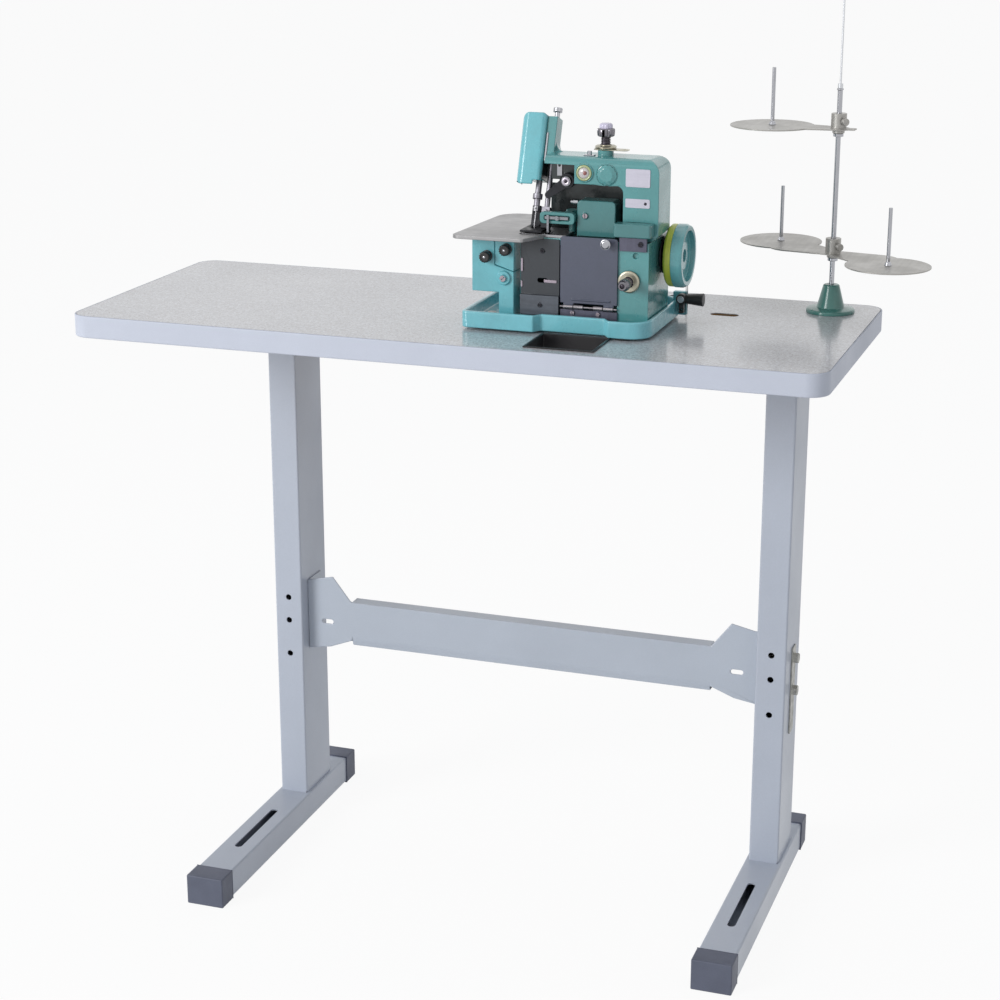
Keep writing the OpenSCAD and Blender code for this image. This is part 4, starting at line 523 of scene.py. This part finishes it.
plate_steel = coating("plate_steel", srgb(168, 167, 168), 0.30, metal=0.8, mark=(22.0, 0.16, 0.14),
                      fine=(420.0, (0.04, 1.0, 1.0), 0.16), bump=0.10)
rounded("cloth_plate", 0.0005, plate_steel, segments=3)
rounded("plate_carrier", 0.0008, light_enamel)


def read(box_of):
    """The middle and the size of a CAD piece's box."""
    low, high = (Vector(corner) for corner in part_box(box_of))
    return (low + high) / 2, high - low


def turned_to(axis):
    """A turn that lays the Z axis of a turned piece along the given direction."""
    return Vector((0, 0, 1)).rotation_difference(Vector(axis)).to_matrix().to_4x4()


def spun(name, rings, place, axis, material, body, slot, node=None, steps=64, flutes=0, smooth=50):
    """A lathe-turned piece. A ring is its radius, height and, if it is fluted, the flutes' depth."""
    mesh = bmesh.new()
    loops = []
    for radius, height, *depth in rings:
        loop = []
        for step in range(steps):
            turn = 2 * math.pi * step / steps
            reach = radius - (depth[0] * max(0.0, math.cos(flutes * turn)) ** 0.6 if depth else 0.0)
            loop.append(mesh.verts.new((reach * math.cos(turn), reach * math.sin(turn), height)))
        loops.append(loop)
    for lower, upper in zip(loops, loops[1:]):
        for step in range(steps):
            after = (step + 1) % steps
            mesh.faces.new((lower[step], lower[after], upper[after], upper[step]))
    mesh.faces.new(loops[0][::-1])
    mesh.faces.new(loops[-1])
    bmesh.ops.recalc_face_normals(mesh, faces=mesh.faces)
    mesh.transform(Matrix.Translation(place) @ turned_to(axis))
    data = bpy.data.meshes.new(name)
    mesh.to_mesh(data)
    mesh.free()
    data.materials.append(material)
    return keep(name, data, body, node, smooth)


knob_plastic = coating("knob_plastic", srgb(26, 26, 28), 0.40, coat=0.2, mark=(80.0, 0.2, 0.15),
                       fine=(900.0, (1, 1, 1), 0.12), bump=0.2)
washer_steel = coating("washer_steel", srgb(70, 68, 72), 0.35, metal=0.8, mark=(90.0, 0.3, 0.2),
                       fine=(900.0, (1, 1, 1), 0.1), bump=0.1)
knob_tall = 0.0107
for node, carried_by in (("carrier_knob", "plate_bracket"), ("bracket_knob", "plate_carrier")):
    middle, size = read(node)
    grip = size.x / 2
    seat = Vector((middle.x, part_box(node)[0][1] + knob_tall, middle.z))
    spun(node + "_grip",
         [(0.0024, -0.0095), (0.0024, 0.0004), (0.0044, 0.0004), (0.0046, 0.0030),
          (grip * 0.80, 0.0033, 0.0001), (grip * 0.97, 0.0037, 0.0006), (grip, 0.0045, 0.0008),
          (grip, 0.0088, 0.0008), (grip * 0.95, 0.0099, 0.0006), (grip * 0.80, 0.0106, 0.0001),
          (grip * 0.68, 0.0106), (grip * 0.62, 0.0100), (grip * 0.20, 0.0098)],
         seat, (0, -1, 0), knob_plastic, body_of[node], slot_of[node], node, flutes=14, steps=168)
    spun(node + "_washer",
         [(0.0032, 0.0001), (grip * 0.98, 0.0001), (grip * 1.02, 0.0005), (grip * 1.02, 0.0011),
          (grip * 0.90, 0.0014), (0.0050, 0.0014)],
         seat, (0, -1, 0), washer_steel, body_of[carried_by], screw_slot, smooth=35)
    spun(node + "_insert", [(0.0015, 0.0096), (0.0015, 0.0103), (0.0011, 0.0106), (0.0004, knob_tall)],
         seat, (0, -1, 0), chrome, body_of[node], slot_of[node], steps=24)


# ---- Throat plate, feed dog and the working steel ----
# Ground and hardened steel: the throat plate with its slots, the toothed feed dog, the needle bar with
# its clamp, the presser bar with a blackened foot, the knives, the loopers and their shafts.

ground_steel = coating("ground_steel", srgb(166, 166, 170), 0.24, metal=1.0, mark=(60.0, 0.22, 0.16),
                       fine=(700.0, (1.0, 0.08, 1.0), 0.14), bump=0.08)
tool_steel = coating("tool_steel", srgb(150, 152, 158), 0.22, metal=1.0, mark=(90.0, 0.25, 0.15),
                     fine=(900.0, (0.1, 1.0, 1.0), 0.12), bump=0.08)
oiled_iron = coating("oiled_iron", srgb(40, 41, 46), 0.34, metal=0.55, mark=(110.0, 0.35, 0.25),
                     fine=(600.0, (1, 1, 1), 0.2), bump=0.25)
rounded("throat_plate", 0.0003, ground_steel)
for node in ("feed_dog", "upper_knife", "lower_knife", "lower_looper", "upper_looper"):
    rounded(node, 0.0002, tool_steel)
bar_steel = coating("bar_steel", srgb(150, 148, 156), 0.34, metal=0.95, mark=(120.0, 0.3, 0.15),
                    fine=(500.0, (1, 1, 0.1), 0.15), bump=0.05)
for node in ("needle_bar", "presser_bar"):
    rounded(node, 0.0003, bar_steel)
for node in ("pivot_shafts", "main_shaft", "thread_guides"):
    rounded(node, 0.0003, chrome)
rounded("needle", 0.0001, ground_steel)
rounded("presser_screw", 0.0004, chrome)
for node in ("needle_lever", "presser_foot"):
    rounded(node, 0.0003, oiled_iron)
rounded("knife_arm", 0.0006, enamel("arm_enamel", srgb(74, 140, 140), 0.26))
bush_bronze = coating("bush_bronze", srgb(170, 132, 78), 0.30, metal=1.0, mark=(80.0, 0.2, 0.15),
                      fine=(900.0, (1, 1, 1), 0.08), bump=0.06)
rounded("shaft_bushes", 0.0003, bush_bronze)


# ---- Handwheel and belt ring ----
# A turned aluminium wheel sprayed teal, with a V groove for the belt behind it. A yellow-green plastic
# ring is pressed on beside the groove, and a slotted set screw closes the hub.

wheel_enamel = enamel("wheel_enamel", srgb(94, 164, 168))
wheel = rounded("handwheel", 0.0006, wheel_enamel, segments=3)
groove_steel = coating("groove_steel", srgb(62, 60, 68), 0.34, metal=0.7, mark=(90.0, 0.3, 0.2),
                       fine=(900.0, (0.1, 1, 1), 0.2), bump=0.1)
also(wheel, groove_steel, lambda spot, way: spot.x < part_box("belt_ring")[0][0] + 0.0002)
ring_plastic = coating("ring_plastic", srgb(186, 196, 64), 0.36, coat=0.3, mark=(60.0, 0.14, 0.12),
                       fine=(700.0, (1, 1, 1), 0.06), bump=0.1)
rounded("belt_ring", 0.0006, ring_plastic, segments=3)


# ---- Label plates ----
# Two blank aluminium plates with round corners, let down on the column's front. A blackened drive
# rivet holds the lower one, and a drop of glue the upper one.

def sheet(name, low, high, material, body, node=None, *, corner, thick, edge):
    """A flat plate facing the front. Low and high are opposite corners of its back, corner is the radius
    of its round corners and edge the width of its broken edge."""
    mesh = bmesh.new()
    ring = []
    for turn, x, z in ((180, low.x + corner, low.z + corner), (270, high.x - corner, low.z + corner),
                       (0, high.x - corner, high.z - corner), (90, low.x + corner, high.z - corner)):
        for step in range(7):
            bend = math.radians(turn + 15 * step)
            ring.append(mesh.verts.new((x + corner * math.cos(bend), low.y, z + corner * math.sin(bend))))
    back = mesh.faces.new(ring)
    front = bmesh.ops.extrude_face_region(mesh, geom=[back])["geom"]
    raised = [part for part in front if isinstance(part, bmesh.types.BMVert)]
    bmesh.ops.translate(mesh, vec=(0, -thick, 0), verts=raised)
    rim = [e for e in mesh.edges if all(abs(v.co.y - low.y + thick) < 1e-7 for v in e.verts)]
    bmesh.ops.bevel(mesh, geom=rim, offset=edge, segments=2, profile=0.5, affect="EDGES")
    bmesh.ops.recalc_face_normals(mesh, faces=mesh.faces)
    data = bpy.data.meshes.new(name)
    mesh.to_mesh(data)
    mesh.free()
    data.materials.append(material)
    return keep(name, data, body, node, smooth=20)


label_sheet = coating("label_sheet", srgb(200, 197, 210), 0.34, metal=0.15, mark=(90.0, 0.08, 0.12),
                      fine=(400.0, (0.05, 1, 1), 0.05), bump=0.05)
left, back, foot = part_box("nameplates")[0][0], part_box("nameplates")[1][1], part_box("nameplates")[0][2]
right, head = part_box("nameplates")[1][0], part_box("nameplates")[1][2]
upper_high, lower_high = 0.020, 0.010
sheet("upper_label", Vector((left, back, head - upper_high)), Vector((right, back, head)), label_sheet,
      "machine", "nameplates", corner=0.0016, thick=0.0008, edge=0.0002)
sheet("lower_label", Vector((left, back, foot)), Vector((right, back, foot + lower_high)), label_sheet,
      "machine", corner=0.0016, thick=0.0008, edge=0.0002)
rivet_black = coating("rivet_black", srgb(58, 56, 64), 0.30, metal=0.8, mark=(200.0, 0.3, 0.1),
                      fine=(900.0, (1, 1, 1), 0.1), bump=0.1)
spun("label_rivet",
     [(0.0017, 0.0002), (0.0017, 0.0009), (0.0015, 0.0012), (0.0010, 0.0014), (0.0004, 0.0015)],
     Vector((right - 0.005, back, foot + lower_high / 2)), (0, -1, 0), rivet_black, "machine", screw_slot,
     steps=24, smooth=35)


# ---- Oil sight ----
# A small domed window in a pale yellow-green ring on the arm's front. The reddish float behind it
# shows the oil level.

ring_lacquer = coating("ring_lacquer", srgb(176, 186, 140), 0.30, metal=0.2, coat=0.4, mark=(160.0, 0.25, 0.1),
                       fine=(900.0, (1, 1, 1), 0.08), bump=0.08)
middle, size = read("oil_sight")
seat = Vector((middle.x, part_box("oil_sight")[1][1] - 0.0035, middle.z))
rim = size.x / 2
spun("oil_sight_ring",
     [(rim, -0.0034), (rim, 0.0018), (rim * 0.96, 0.0026), (rim * 0.86, 0.0030), (rim * 0.76, 0.0028),
      (rim * 0.70, 0.0020), (rim * 0.30, 0.0018)],
     seat, (0, -1, 0), ring_lacquer, "machine", slot_of["oil_sight"], "oil_sight")
window = coating("sight_window", srgb(206, 200, 200), 0.12, coat=0.8, mark=(260.0, 0.25, 0.05),
                 fine=(900.0, (1, 1, 1), 0.03), bump=0.02)
spun("sight_window",
     [(rim * 0.71, 0.0012), (rim * 0.71, 0.0021), (rim * 0.60, 0.0030), (rim * 0.40, 0.0037),
      (rim * 0.18, 0.0041)],
     seat, (0, -1, 0), window, "machine", slot_of["oil_sight"], smooth=70)
float_red = coating("float_red", srgb(150, 84, 80), 0.20, coat=0.6, mark=(300.0, 0.3, 0.1),
                    fine=(900.0, (1, 1, 1), 0.05), bump=0.02)
spun("sight_float", [(0.0023, 0.0024), (0.0023, 0.0040), (0.0018, 0.0044), (0.0008, 0.0046)],
     seat + Vector((0.0016, 0, 0.0002)), (0, -1, 0), float_red, "machine", slot_of["oil_sight"],
     steps=32, smooth=70)


# ---- Tensions ----
# Each has two dished discs on a post, a coil spring and a knob. The top one carries a white crown on a
# chromed notched skirt, the front one a small chromed knob with a dark middle.

disc_metal = coating("disc_metal", srgb(186, 182, 164), 0.24, metal=1.0, mark=(120.0, 0.2, 0.12),
                     fine=(800.0, (1, 1, 1), 0.08), bump=0.06)
post_black = coating("post_black", srgb(58, 52, 62), 0.32, metal=0.6, mark=(160.0, 0.3, 0.15),
                     fine=(900.0, (1, 1, 1), 0.1), bump=0.1)
discs = rounded("tension_discs", 0.0002, disc_metal)
top_knob, top_size = read("tension_knob_top")
front_knob, front_size = read("tension_knob_front")
post_reach, post_wide = 0.0092, 0.0055
top_post_low = top_knob.z - top_size.z / 2 - post_reach
front_post_back = front_knob.y + front_size.y / 2 + post_reach


def on_post(spot, way):
    """The parts of the discs' piece that are the posts and the springs' cores."""
    return ((spot.z > top_post_low and (spot - top_knob).xy.length < post_wide)
            or (spot.y < front_post_back and (spot - front_knob).xz.length < post_wide))


also(discs, post_black, on_post)
crown_plastic = coating("crown_plastic", srgb(206, 200, 222), 0.24, coat=0.6, mark=(160.0, 0.10, 0.08),
                        fine=(900.0, (1, 1, 1), 0.03), bump=0.03)
skirt_chrome = coating("skirt_chrome", srgb(128, 126, 132), 0.20, metal=1.0, mark=(160.0, 0.2, 0.1),
                       fine=(900.0, (1, 1, 1), 0.05), bump=0.03)
wide, tall = top_size.x / 2, top_size.z
seat = Vector((top_knob.x, top_knob.y, top_knob.z - tall / 2))
top_place = (body_of["tension_knob_top"], slot_of["tension_knob_top"])
skirt = spun("top_knob_skirt",
             [(wide * 0.86, 0, 0.0002), (wide * 0.94, 0.0006, 0.0009), (wide, 0.0040, 0.0012),
              (wide, tall * 0.50, 0.0012), (wide * 0.95, tall * 0.56, 0.0009),
              (wide * 0.78, tall * 0.60, 0.0001)],
             seat, (0, 0, 1), skirt_chrome, *top_place, "tension_knob_top", steps=144, flutes=12)
slot_cutter = bpy.data.objects.new("slot_cutter", bpy.data.meshes.new("slot_cutter"))
cutter = bmesh.new()
slot_place = Matrix.Translation(seat + Vector((-0.0005, -wide, tall * 0.22)))
slot_shape = Matrix.Diagonal((0.0030, wide * 2 - 0.003, tall * 0.62, 1.0))
bmesh.ops.create_cube(cutter, size=1.0, matrix=slot_place @ slot_shape)
cutter.to_mesh(slot_cutter.data)
cutter.free()
bpy.context.collection.objects.link(slot_cutter)
sawn = skirt.modifiers.new("sawn_slot", "BOOLEAN")
sawn.object = slot_cutter
sawn.solver = "EXACT"
sawn_mesh = bpy.data.meshes.new_from_object(skirt.evaluated_get(bpy.context.evaluated_depsgraph_get()))
skirt.modifiers.remove(sawn)
skirt.data = sawn_mesh
bpy.data.objects.remove(slot_cutter)
spun("top_knob_crown",
     [(wide * 0.70, tall * 0.585, 0.0002), (wide * 0.74, tall * 0.64, 0.0005),
      (wide * 0.74, tall * 0.82, 0.0005), (wide * 0.68, tall * 0.92, 0.0004),
      (wide * 0.52, tall * 0.975, 0.0002), (wide * 0.25, tall * 0.998)],
     seat, (0, 0, 1), crown_plastic, *top_place, steps=96, flutes=8, smooth=60)
wide, tall = front_size.x / 2, front_size.y
seat = Vector((front_knob.x, front_knob.y + tall / 2, front_knob.z))
front_place = (body_of["tension_knob_front"], slot_of["tension_knob_front"])
spun("front_knob_grip",
     [(wide * 0.84, 0, 0.0001), (wide * 0.96, 0.0005, 0.0005), (wide, 0.0030, 0.0006),
      (wide, tall * 0.55, 0.0006), (wide * 0.94, tall * 0.62, 0.0004), (wide * 0.80, tall * 0.68),
      (wide * 0.76, tall * 0.94), (wide * 0.66, tall * 0.995), (wide * 0.42, tall * 0.995),
      (wide * 0.36, tall * 0.90), (wide * 0.10, tall * 0.89)],
     seat, (0, -1, 0), skirt_chrome, *front_place, "tension_knob_front", steps=144, flutes=18)
spun("front_post_end",
     [(wide * 0.34, tall * 0.86), (wide * 0.34, tall * 0.93), (wide * 0.26, tall * 0.96),
      (wide * 0.08, tall * 0.965)],
     seat, (0, -1, 0), post_black, *front_place, steps=32)


def growth(name, inputs):
    """A Geometry Nodes tree with named inputs, and its start and end."""
    tree = bpy.data.node_groups.new(name, "GeometryNodeTree")
    for label, kind in (("Seeds", "Geometry"),) + inputs + (("Finish", "Material"),):
        tree.interface.new_socket(label, in_out="INPUT", socket_type="NodeSocket" + kind)
    tree.interface.new_socket("Result", in_out="OUTPUT", socket_type="NodeSocketGeometry")
    return tree, tree.nodes.new("NodeGroupInput"), tree.nodes.new("NodeGroupOutput")


def times(tree, value, factor):
    """A socket's value multiplied by a number."""
    made = node_in(tree, "ShaderNodeMath", operation="MULTIPLY")
    tree.links.new(value, made.inputs[0])
    made.inputs[1].default_value = factor
    return made.outputs[0]


def planted(tree, start, end, shape, spin=None):
    """Puts a shape on every seed, its Z axis along the seed's facing, makes it real and sets its finish."""
    facing = node_in(tree, "GeometryNodeInputNamedAttribute", data_type="FLOAT_VECTOR")
    facing.inputs["Name"].default_value = "facing"
    lie = node_in(tree, "FunctionNodeAlignRotationToVector", axis="Z")
    tree.links.new(facing.outputs["Attribute"], lie.inputs["Vector"])
    turned = lie.outputs[0]
    if spin is not None:
        about = node_in(tree, "FunctionNodeAxisAngleToRotation")
        about.inputs["Axis"].default_value = (0, 0, 1)
        tree.links.new(spin, about.inputs["Angle"])
        both = node_in(tree, "FunctionNodeRotateRotation", rotation_space="LOCAL")
        tree.links.new(turned, both.inputs[0])
        tree.links.new(about.outputs[0], both.inputs[1])
        turned = both.outputs[0]
    spread = tree.nodes.new("GeometryNodeInstanceOnPoints")
    tree.links.new(start.outputs["Seeds"], spread.inputs["Points"])
    tree.links.new(shape, spread.inputs["Instance"])
    tree.links.new(turned, spread.inputs["Rotation"])
    real = tree.nodes.new("GeometryNodeRealizeInstances")
    tree.links.new(spread.outputs[0], real.inputs[0])
    finish = tree.nodes.new("GeometryNodeSetMaterial")
    tree.links.new(real.outputs[0], finish.inputs["Geometry"])
    tree.links.new(start.outputs["Finish"], finish.inputs["Material"])
    tree.links.new(finish.outputs[0], end.inputs[0])


def grown(name, tree, seeds, values, body, smooth=35):
    """Runs a tree on seeds, each a place and a facing, and keeps the result as one plain mesh."""
    start = bpy.data.meshes.new(name + "_seeds")
    start.from_pydata([tuple(place) for place, way in seeds], [], [])
    facing = start.attributes.new("facing", "FLOAT_VECTOR", "POINT")
    facing.data.foreach_set("vector", [part for place, way in seeds for part in way])
    grower = bpy.data.objects.new(name + "_seeds", start)
    bpy.context.collection.objects.link(grower)
    live = grower.modifiers.new("growth", "NODES")
    live.node_group = tree
    for socket in tree.interface.items_tree:
        if socket.in_out == "INPUT" and socket.name in values:
            live[socket.identifier] = values[socket.name]
    data = bpy.data.meshes.new_from_object(grower.evaluated_get(bpy.context.evaluated_depsgraph_get()))
    bpy.data.objects.remove(grower)
    return keep(name, data, body, smooth=smooth)


coil_spring, start, end = growth(
    "coil_spring", (("Radius", "Float"), ("Height", "Float"), ("Turns", "Float"), ("Wire", "Float")))
spiral = node_in(coil_spring, "GeometryNodeCurveSpiral", Resolution=20)
for socket, given in (("Rotations", "Turns"), ("Start Radius", "Radius"), ("End Radius", "Radius"),
                      ("Height", "Height")):
    coil_spring.links.new(start.outputs[given], spiral.inputs[socket])
wire = node_in(coil_spring, "GeometryNodeCurvePrimitiveCircle", Resolution=8)
coil_spring.links.new(start.outputs["Wire"], wire.inputs["Radius"])
coiled = node_in(coil_spring, "GeometryNodeCurveToMesh")
coiled.inputs["Fill Caps"].default_value = True
coil_spring.links.new(spiral.outputs[0], coiled.inputs["Curve"])
coil_spring.links.new(wire.outputs[0], coiled.inputs["Profile Curve"])
planted(coil_spring, start, end, coiled.outputs[0])
spring_steel = coating("spring_steel", srgb(96, 92, 98), 0.28, metal=0.9, mark=(160.0, 0.3, 0.15),
                       fine=(900.0, (1, 1, 1), 0.1), bump=0.08)
low_disc = Vector((top_knob.x, top_knob.y, top_knob.z - top_size.z / 2 - 0.0088))
near_disc = Vector((front_knob.x, front_knob.y + front_size.y / 2 + 0.0088, front_knob.z))
grown("tension_springs", coil_spring, [(low_disc, (0, 0, 1)), (near_disc, (0, -1, 0))],
      {"Radius": 0.0050, "Height": 0.0084, "Turns": 4.5, "Wire": 0.00055, "Finish": spring_steel},
      "machine", smooth=60)


# ---- Lever hub, slot clip and edge clips ----
# A bright washer with a socket screw closes the needle lever's hub. Small nickel-plated spring clips
# guide the thread at the left plate's slot and along its left edge.

hub_steel = coating("hub_steel", srgb(196, 188, 200), 0.26, metal=0.6, mark=(200.0, 0.2, 0.1),
                    fine=(900.0, (1, 1, 1), 0.06), bump=0.05)
lever_low, lever_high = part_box("needle_lever")
hub_high = 0.0085
hub_front = Vector((lever_high[0] - hub_high, lever_low[1] - 0.003, lever_high[2] - hub_high))
spun("hub_washer", [(0.0046, -0.0012), (0.0046, 0.0006), (0.0042, 0.0010), (0.0026, 0.0010), (0.0020, 0.0006)],
     hub_front, (0, -1, 0), hub_steel, "machine", screw_slot, steps=40)
spun("hub_socket", [(0.0019, 0.0004), (0.0019, 0.0009), (0.0015, 0.0010), (0.0005, 0.0010)],
     hub_front, (0, -1, 0), post_black, "machine", screw_slot, steps=40)
plate_low = Vector(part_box("left_front_plate")[0])
plate_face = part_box("left_front_plate")[1][1] - 0.002
clip_nickel = coating("clip_nickel", srgb(176, 164, 176), 0.22, metal=0.85, mark=(200.0, 0.25, 0.15),
                      fine=(900.0, (1, 1, 1), 0.08), bump=0.05)
for part, left, foot, long, high, thick in (("slot_clip", 0.028, 0.0405, 0.0150, 0.0032, 0.0012),
                                            ("edge_clip", 0.0006, 0.052, 0.0024, 0.0150, 0.0014),
                                            ("edge_pin", 0.0004, 0.034, 0.0020, 0.0070, 0.0012)):
    corner = Vector((plate_low.x + left, plate_face, plate_low.z + foot))
    sheet(part, corner, corner + Vector((long, 0, high)), clip_nickel, "machine",
          corner=0.0008, thick=thick, edge=0.0003)


# ---- Presser lift lever ----
# A blackened cast bell crank at the right of the tray, with a moulded grip on its handle.

rounded("lift_lever", 0.0006, knob_plastic)


# ---- Screws ----
# Slotted round heads hold the covers, plates and guides. Most are nickel-plated steel, the ones in the
# dark plates are blackened, and the assembler left every slot at its own angle.

slotted_screw, start, end = growth(
    "slotted_screw", (("Radius", "Float"), ("Height", "Float"), ("Slot", "Float"), ("Seed", "Int")))
blank = node_in(slotted_screw, "GeometryNodeMeshCone", Vertices=28)
slotted_screw.links.new(times(slotted_screw, start.outputs["Radius"], 0.80), blank.inputs["Radius Top"])
slotted_screw.links.new(start.outputs["Radius"], blank.inputs["Radius Bottom"])
slotted_screw.links.new(start.outputs["Height"], blank.inputs["Depth"])
saw = node_in(slotted_screw, "GeometryNodeMeshCube")
saw_size = node_in(slotted_screw, "ShaderNodeCombineXYZ")
slotted_screw.links.new(times(slotted_screw, start.outputs["Radius"], 2.4), saw_size.inputs["X"])
slotted_screw.links.new(start.outputs["Slot"], saw_size.inputs["Y"])
slotted_screw.links.new(start.outputs["Height"], saw_size.inputs["Z"])
slotted_screw.links.new(saw_size.outputs[0], saw.inputs["Size"])
raised = node_in(slotted_screw, "GeometryNodeTransform")
lift = node_in(slotted_screw, "ShaderNodeCombineXYZ")
slotted_screw.links.new(start.outputs["Height"], lift.inputs["Z"])
slotted_screw.links.new(saw.outputs[0], raised.inputs["Geometry"])
slotted_screw.links.new(lift.outputs[0], raised.inputs["Translation"])
sawn_head = node_in(slotted_screw, "GeometryNodeMeshBoolean", operation="DIFFERENCE")
slotted_screw.links.new(blank.outputs["Mesh"], sawn_head.inputs[0])
slotted_screw.links.new(raised.outputs[0], sawn_head.inputs[1])
angle = node_in(slotted_screw, "FunctionNodeRandomValue", data_type="FLOAT")
angle.inputs[3].default_value = math.pi
slotted_screw.links.new(start.outputs["Seed"], angle.inputs["Seed"])
planted(slotted_screw, start, end, sawn_head.outputs[0], angle.outputs[1])
nickel = coating("nickel", srgb(170, 158, 166), 0.24, metal=0.95, mark=(200.0, 0.25, 0.15),
                 fine=(900.0, (1, 1, 1), 0.08), bump=0.05)
blackened = coating("blackened_steel", srgb(52, 50, 56), 0.32, metal=0.8, mark=(200.0, 0.3, 0.15),
                    fine=(900.0, (1, 1, 1), 0.1), bump=0.1)


def on_bed(x, y, z):
    """A place in millimetres from the bed's left end, its front face and the board's top."""
    return Vector((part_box("left_front_plate")[0][0] - 0.001 + x / 1000,
                   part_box("left_front_plate")[1][1] + y / 1000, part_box("board_laminate")[1][2] + z / 1000))


def screws(name, finish, places, seed, radius, height, slot=0.0009, way=(0, -1, 0)):
    """Slotted heads of one size and finish, all facing one way."""
    grown(name, slotted_screw, [(place, way) for place in places],
          {"Radius": radius, "Height": height, "Slot": slot, "Seed": seed, "Finish": finish},
          "machine")


cover_corner = 0.006
rear_x = (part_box("rear_cover")[0][0] + cover_corner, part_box("rear_cover")[1][0] - cover_corner)
rear_z = (on_bed(0, 0, 19.5).z, on_bed(0, 0, 98).z)
screws("rear_screws", nickel, [Vector((x, on_bed(0, 90.5, 0).y, z)) for x in rear_x for z in rear_z],
       seed=4, radius=0.0037, height=0.0023, slot=0.0010, way=(0, 1, 0))
screws("plate_screws", blackened, [on_bed(27, -2.0, 92), on_bed(25, -5.0, 30.5)],
       seed=7, radius=0.0028, height=0.0017)
screws("strip_screws", nickel, [on_bed(63, -2.5, 23.8), on_bed(93, -2.5, 23.8)],
       seed=9, radius=0.0028, height=0.0019)
screws("latch_screw", blackened, [on_bed(141, -3.0, 106)], seed=3, radius=0.0032, height=0.0019)
screws("cover_screw", nickel, [on_bed(71, 17.0, 131)], seed=5, radius=0.0036, height=0.0025)
screws("boss_screw", nickel, [on_bed(-17.5, -9.0, 59)], seed=2, radius=0.0044, height=0.0027)
